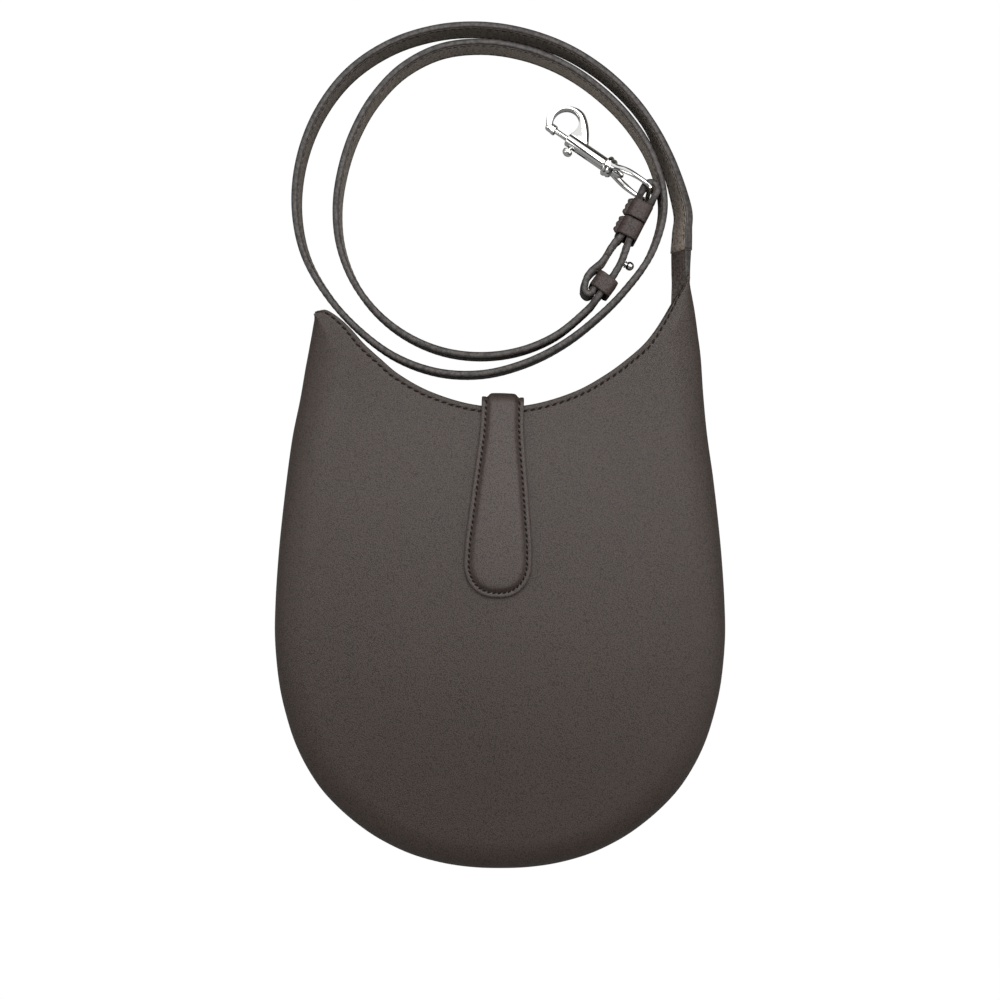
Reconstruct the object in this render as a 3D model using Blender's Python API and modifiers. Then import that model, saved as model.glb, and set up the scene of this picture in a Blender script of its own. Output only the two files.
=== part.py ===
"""A leather sling bag that lies on its back, with its strap in a loose coil.

Metres, +Z up. X runs across the bag, +Y towards its mouth, +Z out of its front.
The origin is at the middle of the bag's underside.
"""

import math

import bmesh
import bpy
from mathutils import Matrix, Vector

# Fits
GAP = 0.0003
OVERRUN = 0.002
WELD = 0.00001

# The bag's body
BODY_HALF_WIDTH = 0.1018
BODY_LENGTH = 0.2515
BODY_DEPTH = 0.0250
BODY_FOOT_Y = -0.1395
LEATHER = 0.0016
LINING = 0.0006
LINING_SLACK = 0.0024
LINING_CLEARANCE = 0.0009
FACING_CLEARANCE = 0.0005
SIDE_ROLL = 0.0165
SEAM_TUCK = 0.0015
BACK_MARGIN = 0.0010
FACING_WIDTH = 0.0100
FACING_THICKNESS = 0.0010

# Half of the outline from the foot up, then each horn, in shares of half width and length
HALF_OUTLINE_SHARES = (
    (0.000, 0.000), (0.130, 0.002), (0.262, 0.010), (0.400, 0.026), (0.530, 0.051), (0.630, 0.078),
    (0.722, 0.110), (0.800, 0.145), (0.866, 0.187), (0.914, 0.229), (0.948, 0.272), (0.975, 0.318),
    (0.991, 0.365), (1.000, 0.418), (0.998, 0.470), (0.990, 0.530), (0.976, 0.600), (0.950, 0.698),
    (0.925, 0.775),
)
LEFT_HORN_SHARES = ((0.893, 0.842), (0.869, 0.900), (0.842, 0.957), (0.828, 0.984))
RIGHT_HORN_SHARES = ((0.909, 0.850), (0.899, 0.914), (0.886, 0.957), (0.870, 1.000), (0.851, 1.046))

# The edge of the mouth from the left horn to the right one, in the same shares
RIM_SHARES = (
    (-0.786, 1.003), (-0.766, 1.003), (-0.744, 0.996), (-0.708, 0.984), (-0.667, 0.969), (-0.631, 0.953),
    (-0.596, 0.937), (-0.520, 0.909), (-0.440, 0.882), (-0.312, 0.853), (-0.147, 0.831), (0.010, 0.824),
    (0.167, 0.831), (0.334, 0.853), (0.462, 0.882), (0.560, 0.911), (0.640, 0.940), (0.698, 0.969),
    (0.742, 0.997), (0.772, 1.018), (0.797, 1.033),
)

# Depth of the filled bag up its length, in shares of length and depth
DEPTH_SHARES = ((-0.05, 0.84), (0.10, 0.91), (0.25, 0.98), (0.42, 1.00), (0.60, 0.93), (0.75, 0.79),
                (0.824, 0.68), (0.92, 0.62), (1.10, 0.60))
SIDE_FALL_SHARE = 0.16
WIDEST_HEIGHT_SHARE = 0.28
ROLL_LIMIT_SHARE = 0.62
SKIVED_SHARE = 0.35
FACING_LIMIT_SHARE = 0.80
ROLL_POWER = 2.3

# Columns of the panel's grid: share of the columns, of the outline, and of the mouth's edge
HALF_COLUMN_SHARES = ((0.00, 0.000, 0.000), (0.05, 0.021, 0.105), (0.10, 0.045, 0.215), (0.20, 0.140, 0.340),
                      (0.30, 0.250, 0.410), (0.40, 0.370, 0.458), (0.50, 0.500, 0.500))

# Steps of the panel's grid
PANEL_STEPS = 60
ROLL_STEPS = 6
INNER_STEPS = 9
LINING_STEPS = 40
LINING_ROWS = 7
PANEL_ROWS = ROLL_STEPS + INNER_STEPS
LINING_ENDS_SHARES = (0.07, 0.92)
FACING_ENDS_SHARES = (0.02, 0.95)
BACK_LINING_ENDS_SHARES = (0.05, 0.95)
BACK_LINING_MARGIN = 0.0046
SEAM_CLEARANCE = 0.0006
TUCK_ROWS_SHARE = 1 / PANEL_ROWS
ROLL_ROWS_SHARE = ROLL_STEPS / PANEL_ROWS

# The closure tab, a raised flap that folds over the edge of the mouth
TAB_LENGTH = 0.0884
TAB_HALF_WIDTH = 0.0147
TAB_PLY = 0.0011
TAB_BACKING = 0.0010
TAB_FILLER = 0.0012
TAB_RISE = 0.0015
TAB_MARGIN = 0.0024
TAB_SHOULDER = 0.0009
TAB_FILLER_INSET = 0.0046
TAB_BEND_RADIUS = 0.0018
TAB_RIM_CLEARANCE = 0.0020
TAB_SLANT = math.radians(1.76)
TAB_CENTRE_X = 0.0012
TAB_ROOT_LENGTH = 0.0320
TAB_TIP_STEPS = 8
TAB_TIP_SHARE = 1.00
TAB_TIP_STEP_SHARE = 0.20
TAB_TIP_POWER = 0.85
TAB_BEND_STEPS = 4
TAB_OUTLINE_SHARES = (
    (0.000, 0.637), (0.100, 0.640), (0.200, 0.667), (0.300, 0.724), (0.420, 0.800), (0.520, 0.859),
    (0.600, 0.905), (0.690, 0.960), (0.760, 0.992), (0.830, 1.000),
)
MAGNET_RADIUS = 0.0060
MAGNET_FROM_TIP = 0.0170
PLATE_RADIUS = 0.0070
PLATE_THICKNESS = 0.0012

# The D-ring and its loop in the left horn
RING_FROM_SIDE = 0.0298
RING_BAR_Y = 0.0800
RING_HALF_WIDTH = 0.0076
RING_DEPTH = 0.0120
RING_WIRE = 0.0012
LOOP_PLY = 0.0012
LOOP_LENGTH = 0.0150
LOOP_HALF_WIDTH = 0.0056

# The strap
STRAP_WIDTH = 0.0120
STRAP_THICKNESS = 0.0030
STRAP_LIFT = 0.0003
ROOT_LEAN = math.radians(30)

# The coil's centre, and its radius at every 15 degrees from the right, anticlockwise
COIL_CENTRE = (-0.0081, 0.1586)
COIL_STEP = math.radians(15)
COIL_RADII = (
    0.0907, 0.0866, 0.0843, 0.0822, 0.0810, 0.0805, 0.0811, 0.0824, 0.0841, 0.0853, 0.0852, 0.0847,
    0.0841, 0.0829, 0.0803, 0.0786, 0.0781, 0.0771, 0.0753, 0.0731, 0.0719, 0.0721, 0.0747, 0.0793,
    0.0820, 0.0804, 0.0773, 0.0748, 0.0736, 0.0732, 0.0735, 0.0737, 0.0721, 0.0692, 0.0667, 0.0654,
    0.0656, 0.0664, 0.0670, 0.0673, 0.0674, 0.0674, 0.0672, 0.0671, 0.0669, 0.0664,
)
ROUTE_START = ((0.0822, 0.1391), (0.0826, 0.1480))
ROUTE_END = ((0.0439, 0.1176), (0.0494, 0.1250), (0.0542, 0.1328), (0.0564, 0.1382))
STRAP_POINTS = 72
STRAP_END_POINTS = 18
STRAP_END_SHARE = 0.93
LEAN_LENGTH = 0.0620

# The tongue in the right horn, from its sewn end to the strap: place, lean from upright, share of width
ROOT_ROUTE = (
    ((0.0808, 0.0960, 0.0050), 88, 0.62), ((0.0808, 0.1040, 0.0054), 80, 0.62),
    ((0.0807, 0.1110, 0.0058), 68, 0.62), ((0.0808, 0.1180, 0.0062), 54, 0.62),
    ((0.0812, 0.1250, 0.0065), 44, 0.66), ((0.0818, 0.1310, 0.0065), 36, 0.80),
    ((0.0822, 0.1388, 0.0063), 30, 1.00),
)
ROOT_STEPS = 14

# The turned end of the strap: its frame stands at the middle of the eye's bar
END_PLACE = (0.0668, 0.1643, 0.0096)
END_HEADING = math.radians(242.5)
STRAP_STOP = 0.0183
TURN_RADIUS = 0.0031
TURN_CENTRE = -0.0005
LANE_POINTS = ((0.0160, 0.0020), (0.0110, 0.0020), (0.0056, 0.00205), (0.0042, 0.00225), (0.0028, 0.0028),
               (0.0012, 0.0031))
LANE_OFFSET = 0.0020
LANE_END = 0.0228
LANE_HEIGHT = 0.0078
BEND_STEPS = 8
END_STEPS = 54
TAIL_STEPS = 26
LEFT_BAND_ROUTE = ((0.0522, 0.1428), (0.0495, 0.1390), (0.0479, 0.1362))
TAIL_ROUTE = (
    (0.0477, 0.1359), (0.0464, 0.1339), (0.0449, 0.1323), (0.0433, 0.1310), (0.0410, 0.1290),
    (0.0390, 0.1262), (0.0381, 0.1230), (0.0381, 0.1203), (0.0396, 0.1188), (0.0412, 0.1196),
    (0.0420, 0.1210), (0.0436, 0.1230), (0.0452, 0.1251), (0.0462, 0.1265),
)
KEEPER_PLY = 0.0012
KEEPER_LENGTH = 0.0084
KEEPER_UPPER_AT = 0.0094
KEEPER_LOWER_AT = 0.0183
KEEPER_CORNER = 0.0012
SLIDE_PLACE = (0.0466, 0.1234)
SLIDE_HEADING = math.radians(233.4)
SLIDE_LENGTH = 0.0078
SLIDE_HALF_OPENING = 0.0040

# The ball stud, on the strap above the sliding keeper
STUD_PLACE = (0.0547, 0.1337, 0.0078)
STUD_HEADING = math.radians(-21.2)
STUD_BALL = 0.0020
STUD_BALL_CENTRE = 0.0042
STUD_NECK = 0.0010
STUD_FLANGE = 0.0016
STUD_FLANGE_THICKNESS = 0.0006
STUD_SHANK = 0.0009
STUD_BASE = 0.0028
STUD_BASE_THICKNESS = 0.0008

# The snap hook, measured along its axis from the middle of the eye's bar
SNAP_HEADING = math.radians(143.4)
SNAP_SLOPE = math.radians(7.2)
EYE_LEAN = math.radians(3)
EYE_WIRE = 0.0011
EYE_HALF_OPENING = 0.0069
EYE_LOWER_SHARE = 0.91
COLLAR_FROM = 0.0196
COLLAR_TO = 0.0239
COLLAR_RADIUS = 0.0047
RIVET_NECK = 0.0013
RIVET_HEAD = 0.0023
RIVET_HEAD_FROM = 0.0138
RIVET_SEAT = 0.0018
BARREL_TO = 0.0450
BARREL_RADIUS = 0.0030
BARREL_CHAMFER = 0.0004
BOLT_RADIUS = 0.0012
BOLT_FROM = 0.0385
BOLT_TO = 0.0545
BOLT_TRAVEL = 0.0080
BORE_FROM = 0.0274
SLOT_FROM = 0.0325
SLOT_TO = 0.0428
SLOT_HALF_WIDTH = 0.0010
KNOB_AT = 0.0416
KNOB_STEM = 0.0007
KNOB_RADIUS = 0.0023
KNOB_FROM = 0.0040
KNOB_TO = 0.0069
HOOK_HALF_THICKNESS = 0.0020
HOOK_HOLE = 0.0060
HOOK_HOLE_STEPS = 32
HOOK_CENTRE_ALONG = 0.0502
HOOK_CENTRE_ASIDE = 0.0055
HOOK_FOOT_ALONG = 0.0350
HOOK_LENGTH = 0.0242
HOOK_HEIGHT = 0.0141
HOOK_BEVEL = 0.0007
HOOK_SHARES = (
    (0.680, -0.160), (0.784, -0.145), (0.904, -0.030), (0.984, 0.171), (1.000, 0.355), (0.968, 0.579),
    (0.888, 0.763), (0.772, 0.901), (0.664, 0.974), (0.560, 1.000), (0.448, 0.967), (0.344, 0.862),
    (0.248, 0.724), (0.152, 0.539), (0.072, 0.342), (0.000, 0.150),
)
GATE_ASIDE = 0.0030
NOSE_FROM = 0.0520
NOSE_TO = 0.0568
NOSE_RADIUS = 0.0021
NOSE_SOCKET_TO = 0.0550
EYE_BOW_SHARES = (
    (1.06, 0.42), (0.96, 0.50), (0.88, 0.61), (0.76, 0.78), (0.62, 0.92), (0.46, 1.02), (0.30, 1.05),
    (0.17, 1.04), (0.08, 0.99), (0.02, 0.89), (0.00, 0.78),
)
SPRING_RADIUS = 0.00095
SPRING_WIRE = 0.00018
SPRING_TURNS = 5
SPRING_POINTS_PER_TURN = 8
TURNED_SIDES = 24
SHARP_ANGLE = 35
RIVET_BELL_SHARES = ((1.00, 1.00), (0.67, 1.00), (0.36, 0.84), (0.12, 0.52), (0.00, 0.00))
KNOB_SHARES = ((1.00, 0.00), (0.95, 0.42), (0.76, 0.82), (0.52, 1.00), (0.18, 1.00), (0.00, 0.86))
TURNED_AXES = {"Z": (0, 0, 0), "X": (0, math.pi / 2, 0)}


# Colours, roughness and metallic value of each finish
FINISHES = {
    "body_leather": ((0.070, 0.058, 0.052), 0.46, 0.0),
    "tab_leather": ((0.105, 0.085, 0.080), 0.44, 0.0),
    "strap_leather": ((0.085, 0.072, 0.064), 0.48, 0.0),
    "edge_paint": ((0.060, 0.056, 0.054), 0.40, 0.0),
    "lining_suede": ((0.110, 0.092, 0.080), 0.85, 0.0),
    "filler_board": ((0.300, 0.240, 0.180), 0.80, 0.0),
    "polished_steel": ((0.780, 0.780, 0.770), 0.12, 1.0),
    "plain_steel": ((0.560, 0.560, 0.570), 0.30, 1.0),
}


def clear_scene():
    for old in list(bpy.data.objects):
        bpy.data.objects.remove(old, do_unlink=True)


def new_collection(name):
    made = bpy.data.collections.new(name)
    bpy.context.scene.collection.children.link(made)
    return made


clear_scene()
PARTS = new_collection("leather_sling_bag")
CUTTERS = new_collection("cutters")
CUTTERS.hide_render = True


def finish_material(node, finish):
    colour, roughness, metallic = FINISHES[finish]
    made = bpy.data.materials.new(node)
    made.use_nodes = True
    shader = made.node_tree.nodes["Principled BSDF"]
    shader.inputs["Base Color"].default_value = (*colour, 1.0)
    shader.inputs["Roughness"].default_value = roughness
    shader.inputs["Metallic"].default_value = metallic
    made.diffuse_color = (*colour, 1.0)
    return made


def add_part(node, data, finish, frame=None):
    """Links one sub-part, with a material of its own, under the empty that places it."""
    made = bpy.data.objects.new(node, data)
    made.data.materials.clear()
    made.data.materials.append(finish_material(node, finish))
    PARTS.objects.link(made)
    if frame:
        made.parent = frame
    return made


def add_cutter(name, data, frame=None):
    made = bpy.data.objects.new(name, data)
    made.display_type = "WIRE"
    made.hide_render = True
    CUTTERS.objects.link(made)
    if frame:
        made.parent = frame
    return made


def add_frame(name, matrix, parent=None):
    made = bpy.data.objects.new(name, None)
    made.empty_display_size = BODY_DEPTH
    PARTS.objects.link(made)
    made.parent = parent
    made.matrix_world = matrix
    bpy.context.view_layer.update()
    return made


def boolean(target, operation, cutter):
    step = target.modifiers.new(cutter.name, "BOOLEAN")
    step.operation = operation
    step.solver = "EXACT"
    step.object = cutter


def smooth_points(points, steps):
    """Points on a smooth curve that passes through the given ones, steps to each span."""
    given = [Vector(point) for point in points]
    ends = [2 * given[0] - given[1]] + given + [2 * given[-1] - given[-2]]
    result = []
    for before, start, stop, after in zip(ends, ends[1:], ends[2:], ends[3:]):
        for step in range(steps):
            t = step / steps
            result.append(0.5 * ((2 * start) + (stop - before) * t
                                 + (2 * before - 5 * start + 4 * stop - after) * t ** 2
                                 + (3 * start - before - 3 * stop + after) * t ** 3))
    result.append(given[-1])
    return result


class Route:
    """A smooth line through hand-placed points, read by the share of its length."""

    def __init__(self, points, steps=12):
        self.points = smooth_points(points, steps)
        self.marks = [0.0]
        for one, two in zip(self.points, self.points[1:]):
            self.marks.append(self.marks[-1] + (two - one).length)
        self.length = self.marks[-1]

    def at(self, share):
        wanted = min(max(share, 0.0), 1.0) * self.length
        low, high = 0, len(self.marks) - 1
        while high - low > 1:
            middle = (low + high) // 2
            if self.marks[middle] > wanted:
                high = middle
            else:
                low = middle
        span = self.marks[high] - self.marks[low]
        return self.points[low].lerp(self.points[high], (wanted - self.marks[low]) / span)

    def heading(self, share):
        step = 0.5 / len(self.points)
        return (self.at(share + step) - self.at(share - step)).normalized()


def read_shares(table, place):
    """The value of a table of shares at a place."""
    if place <= table[0][0]:
        return table[0][1]
    for (left, low), (right, high) in zip(table, table[1:]):
        if place <= right:
            t = (place - left) / (right - left)
            return low + (high - low) * t
    return table[-1][1]


def body_point(across_share, up_share):
    return Vector((across_share * BODY_HALF_WIDTH, BODY_FOOT_Y + up_share * BODY_LENGTH))


def outline_points():
    left = [(-across, up) for across, up in HALF_OUTLINE_SHARES[1:] + LEFT_HORN_SHARES]
    right = list(HALF_OUTLINE_SHARES + RIGHT_HORN_SHARES)
    return [body_point(*share) for share in left[::-1] + right]


OUTLINE = Route(outline_points())
RIM = Route([body_point(*share) for share in RIM_SHARES])
DEPTH_ROUTE = smooth_points([(place, share, 0) for place, share in DEPTH_SHARES], 8)
DEPTH_TABLE = [(point.x, point.y) for point in DEPTH_ROUTE]


def depth_at(x, y):
    """Height of the filled bag's front over the floor, away from its rolled sides."""
    up = (y - BODY_FOOT_Y) / BODY_LENGTH
    across = x / BODY_HALF_WIDTH
    return BODY_DEPTH * read_shares(DEPTH_TABLE, up) * (1 - SIDE_FALL_SHARE * across ** 2)


COLUMNS = smooth_points(list(HALF_COLUMN_SHARES)
                        + [(1 - a, 1 - b, 1 - c) for a, b, c in HALF_COLUMN_SHARES[-2::-1]], 8)
EDGE_TABLE = [(point.x, point.y) for point in COLUMNS]
RIM_TABLE = [(point.x, point.z) for point in COLUMNS]


def edge_at(share):
    return OUTLINE.at(read_shares(EDGE_TABLE, share))


def rim_at(share):
    return RIM.at(read_shares(RIM_TABLE, share))


def inward(share):
    heading = OUTLINE.heading(read_shares(EDGE_TABLE, share))
    return Vector((-heading.y, heading.x))


def roll_width(share):
    ray = (rim_at(share) - edge_at(share)).length
    return min(SIDE_ROLL, ROLL_LIMIT_SHARE * ray)


def inner_ray(share):
    start = edge_at(share) + inward(share) * roll_width(share)
    return start, rim_at(share)


def panel_point(share, row):
    """A point on the outer face of the front, by share of the columns and share of the rows."""
    edge = edge_at(share)
    aside = inward(share)
    if row <= TUCK_ROWS_SHARE:
        turn = row / TUCK_ROWS_SHARE * math.pi / 2
        place = edge + aside * SEAM_TUCK * (1 - math.sin(turn))
        widest = WIDEST_HEIGHT_SHARE * depth_at(edge.x, edge.y)
        seam = LEATHER + GAP
        return Vector((place.x, place.y, seam + (widest - seam) * (1 - math.cos(turn))))
    if row <= ROLL_ROWS_SHARE:
        turn = (row - TUCK_ROWS_SHARE) / (ROLL_ROWS_SHARE - TUCK_ROWS_SHARE) * math.pi / 2
        place = edge + aside * roll_width(share) * (1 - max(math.cos(turn), 0) ** (2 / ROLL_POWER))
        top = depth_at(place.x, place.y)
        widest = WIDEST_HEIGHT_SHARE * depth_at(edge.x, edge.y)
        return Vector((place.x, place.y, widest + (top - widest) * math.sin(turn) ** (2 / ROLL_POWER)))
    start, stop = inner_ray(share)
    place = start.lerp(stop, (row - ROLL_ROWS_SHARE) / (1 - ROLL_ROWS_SHARE))
    return Vector((place.x, place.y, depth_at(place.x, place.y)))


def panel_outward(share, row):
    step = 0.25 / PANEL_STEPS
    along = panel_point(min(share + step, 1), row) - panel_point(max(share - step, 0), row)
    rise = panel_point(share, min(row + step, 1)) - panel_point(share, max(row - step, 0))
    return along.cross(rise).normalized()


def facing_row(share, clearance=0.0):
    """The row where the facing of the mouth ends, or one that is clear of it."""
    start, stop = inner_ray(share)
    ray = (stop - start).length
    inset = min(FACING_WIDTH / ray, FACING_LIMIT_SHARE) + clearance / ray
    return 1 - (1 - ROLL_ROWS_SHARE) * inset


def moulded_skin(node, finish, thickness, sink, first_row, last_row, steps, rows, shares=(0.0, 1.0)):
    """A sheet that follows the inside of the front: a grid set on the form, then thickened inwards."""
    sheet = bmesh.new()
    bmesh.ops.create_grid(sheet, x_segments=steps, y_segments=rows, size=0.5)
    weights = []
    for vert in sheet.verts:
        share = shares[0] + (shares[1] - shares[0]) * (vert.co.x + 0.5)
        low = first_row(share)
        row = low + (last_row(share) - low) * (vert.co.y + 0.5)
        weights.append(SKIVED_SHARE + (1 - SKIVED_SHARE) * min(2 * roll_width(share) / SIDE_ROLL, 1))
        vert.co = panel_point(share, row) - panel_outward(share, row) * sink(share, row)
    mesh = bpy.data.meshes.new(node)
    sheet.to_mesh(mesh)
    sheet.free()
    made = add_part(node, mesh, finish)
    skived = made.vertex_groups.new(name="skived")
    for index, weight in enumerate(weights):
        skived.add([index], weight, "REPLACE")
    solid = made.modifiers.new("thickness", "SOLIDIFY")
    solid.thickness = thickness
    solid.offset = -1
    solid.vertex_group = skived.name
    mesh.shade_smooth()
    return made


def flat_outline(name, loops, thickness):
    """A flat sheet of the outline in the first loop, with the others as holes, on the XY plane."""
    curve = bpy.data.curves.new(name, "CURVE")
    curve.dimensions = "2D"
    curve.fill_mode = "BOTH"
    curve.extrude = thickness / 2
    for loop in loops:
        spline = curve.splines.new("POLY")
        spline.points.add(len(loop) - 1)
        for point, place in zip(spline.points, loop):
            point.co = (place[0], place[1], 0, 1)
        spline.use_cyclic_u = True
    return curve


def circle_points(centre, radius, count, first=0.0, last=2 * math.pi):
    whole = abs(last - first) >= 2 * math.pi
    steps = count if whole else count - 1
    turns = [first + (last - first) * index / steps for index in range(count)]
    return [(centre[0] + radius * math.cos(turn), centre[1] + radius * math.sin(turn)) for turn in turns]


def rounded_box(half_width, half_height, corner, steps=4):
    points = []
    for quarter, (x, y) in enumerate(((1, 1), (-1, 1), (-1, -1), (1, -1))):
        centre = (x * (half_width - corner), y * (half_height - corner))
        start = quarter * math.pi / 2
        points += circle_points(centre, corner, steps, start, start + math.pi / 2)
    return points


def as_mesh(curve_object):
    """The object's curve as a closed mesh, in the same place."""
    bpy.context.view_layer.update()
    depsgraph = bpy.context.evaluated_depsgraph_get()
    mesh = bpy.data.meshes.new_from_object(curve_object.evaluated_get(depsgraph))
    work = bmesh.new()
    work.from_mesh(mesh)
    bmesh.ops.remove_doubles(work, verts=work.verts, dist=WELD)
    bmesh.ops.recalc_face_normals(work, faces=work.faces)
    work.to_mesh(mesh)
    work.free()
    place = curve_object.matrix_world.copy()
    parent = curve_object.parent
    name = curve_object.name
    material = curve_object.data.materials[0] if curve_object.data.materials else None
    homes = list(curve_object.users_collection)
    hidden = curve_object.hide_render
    bpy.data.objects.remove(curve_object, do_unlink=True)
    made = bpy.data.objects.new(name, mesh)
    mesh.materials.clear()
    if material:
        mesh.materials.append(material)
    homes[0].objects.link(made)
    made.parent = parent
    made.matrix_world = place
    if hidden:
        made.hide_render = True
        made.display_type = "WIRE"
    return made


def turned(node, profile, frame, finish=None, along="Z"):
    """A piece turned about an axis of its frame. The profile runs from the far end to the near one."""
    mesh = bpy.data.meshes.new(node)
    mesh.from_pydata([(radius, 0, place) for place, radius in profile],
                     [(index, index + 1) for index in range(len(profile) - 1)], [])
    made = add_part(node, mesh, finish, frame) if finish else add_cutter(node, mesh, frame)
    made.rotation_euler = TURNED_AXES[along]
    turn = made.modifiers.new("turn", "SCREW")
    turn.axis = "Z"
    turn.steps = TURNED_SIDES
    turn.render_steps = TURNED_SIDES
    turn.use_merge_vertices = True
    turn.merge_threshold = WELD
    turn.use_smooth_shade = True
    bpy.context.view_layer.update()
    return made


def box(name, low, high, frame=None):
    """A block between two corners, for cutting."""
    work = bmesh.new()
    bmesh.ops.create_cube(work, size=1.0)
    for vert in work.verts:
        vert.co = [one + (two - one) * (at + 0.5) for one, two, at in zip(low, high, vert.co)]
    mesh = bpy.data.meshes.new(name)
    work.to_mesh(mesh)
    work.free()
    return add_cutter(name, mesh, frame)


def round_bar(node, points, radius, frame, finish, cyclic=False, resolution=2):
    """A round wire along a line of points."""
    curve = bpy.data.curves.new(node, "CURVE")
    curve.dimensions = "3D"
    curve.bevel_depth = radius
    curve.bevel_resolution = resolution
    curve.fill_mode = "FULL"
    curve.use_fill_caps = not cyclic
    spline = curve.splines.new("POLY")
    spline.points.add(len(points) - 1)
    for point, place in zip(spline.points, points):
        point.co = (*place, 1)
    spline.use_cyclic_u = cyclic
    return add_part(node, curve, finish, frame)


def flat_strip(node, points, leans, widths=None):
    """A strip of strap with round edges that stands on its edge along a line of points."""
    curve = bpy.data.curves.new(node, "CURVE")
    curve.dimensions = "3D"
    curve.twist_mode = "Z_UP"
    curve.extrude = (STRAP_WIDTH - STRAP_THICKNESS) / 2
    curve.bevel_depth = STRAP_THICKNESS / 2
    curve.bevel_resolution = 1
    curve.fill_mode = "FULL"
    curve.use_fill_caps = True
    spline = curve.splines.new("POLY")
    spline.points.add(len(points) - 1)
    for index, (point, place, lean) in enumerate(zip(spline.points, points, leans)):
        point.co = (*place, 1)
        point.tilt = lean
        point.radius = widths[index] if widths else 1
    return add_part(node, curve, "strap_leather")


def plan(points):
    return [(point[0], point[1]) for point in points]


# Front and back leather
front_panel = moulded_skin("front_panel", "body_leather", LEATHER, lambda share, row: 0.0,
                           lambda share: 0.0, lambda share: 1.0, PANEL_STEPS, PANEL_ROWS)

shares = [index / PANEL_STEPS for index in range(PANEL_STEPS + 1)]
back_loop = [edge_at(share) + inward(share) * BACK_MARGIN for share in shares]
back_loop += [rim_at(share) for share in shares[::-1]]
back_panel = add_part("back_panel", flat_outline("back_panel", [plan(back_loop)], LEATHER), "body_leather")
back_panel.location.z = LEATHER / 2
back_panel = as_mesh(back_panel)

# Linings and the facings of the mouth
def lining_sink(share, row):
    t = (row - TUCK_ROWS_SHARE) / (1 - TUCK_ROWS_SHARE)
    return LEATHER + LINING_CLEARANCE + LINING_SLACK * math.sin(math.pi * min(max(t, 0), 1))


front_lining = moulded_skin("front_lining", "lining_suede", LINING, lining_sink,
                            lambda share: TUCK_ROWS_SHARE,
                            lambda share: facing_row(share, SEAM_CLEARANCE), LINING_STEPS, LINING_ROWS,
                            LINING_ENDS_SHARES)
front_rim_facing = moulded_skin("front_rim_facing", "body_leather", FACING_THICKNESS,
                                lambda share, row: LEATHER + FACING_CLEARANCE,
                                facing_row, lambda share: 1.0, PANEL_STEPS, 1, FACING_ENDS_SHARES)

first, last = FACING_ENDS_SHARES
faced = [first + (last - first) * share for share in shares]
facing_loop = [rim_at(share) for share in faced]
facing_loop += [panel_point(share, facing_row(share)) for share in faced[::-1]]
back_rim_facing = add_part("back_rim_facing",
                           flat_outline("back_rim_facing", [plan(facing_loop)], FACING_THICKNESS), "body_leather")
back_rim_facing.location.z = LEATHER + GAP + FACING_THICKNESS / 2
back_rim_facing = as_mesh(back_rim_facing)

first, last = BACK_LINING_ENDS_SHARES
lined = [first + (last - first) * share for share in shares]
lining_loop = [edge_at(share) + inward(share) * BACK_LINING_MARGIN for share in lined]
lining_loop += [panel_point(share, facing_row(share, SEAM_CLEARANCE)) for share in lined[::-1]]
back_lining = add_part("back_lining", flat_outline("back_lining", [plan(lining_loop)], LINING), "lining_suede")
back_lining.location.z = LEATHER + GAP + LINING / 2
back_lining = as_mesh(back_lining)

# The closure tab: it is stored folded over the mouth, and opens about the outside of its fold
tab_rim_y = RIM.at(0.5).y
bend_y = tab_rim_y + TAB_RIM_CLEARANCE - TAB_BEND_RADIUS
tab_stack = TAB_BACKING + GAP + TAB_PLY
root_floor = LEATHER + GAP + FACING_THICKNESS + GAP
lower_bend_z = root_floor + tab_stack + TAB_BEND_RADIUS
upper_bend_z = depth_at(TAB_CENTRE_X, bend_y) + GAP - TAB_BEND_RADIUS
hinge_z = (lower_bend_z + upper_bend_z) / 2
tab_matrix = Matrix.Translation((TAB_CENTRE_X, bend_y, 0)) @ Matrix.Rotation(-TAB_SLANT, 4, "Z")
tab_frame = add_frame("tab_frame", tab_matrix)
hinge_place = tab_matrix @ Vector((0, TAB_BEND_RADIUS + tab_stack, hinge_z))
hinge_frame = add_frame("closure_hinge_axis", Matrix.Translation(hinge_place) @ Matrix.Rotation(-TAB_SLANT, 4, "Z"))

bend_run = (TAB_BEND_RADIUS + tab_stack / 2) * math.pi / 2
rise_run = upper_bend_z - hinge_z - GAP / 2
plan_shift = TAB_BEND_RADIUS + tab_stack
flap_run = TAB_LENGTH - plan_shift
tab_run = rise_run + bend_run + flap_run


def tab_point(across, run, height):
    """A point of the folded tab, by its place across, along its length, and over the tab's underside."""
    radius = TAB_BEND_RADIUS + height
    if run <= rise_run:
        local = Vector((across, radius, hinge_z + GAP / 2 + run))
    elif run <= rise_run + bend_run:
        turn = (run - rise_run) / bend_run * math.pi / 2
        local = Vector((across, radius * math.cos(turn), upper_bend_z + radius * math.sin(turn)))
    else:
        local = Vector((across, rise_run + bend_run - run, 0))
        place = tab_matrix @ local
        local.z = depth_at(place.x, place.y) + GAP + height
    return tab_matrix @ local


def tab_half_width(run):
    along = (run - rise_run - bend_run + plan_shift) / TAB_LENGTH
    return TAB_HALF_WIDTH * read_shares(TAB_OUTLINE_SHARES, along)


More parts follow.
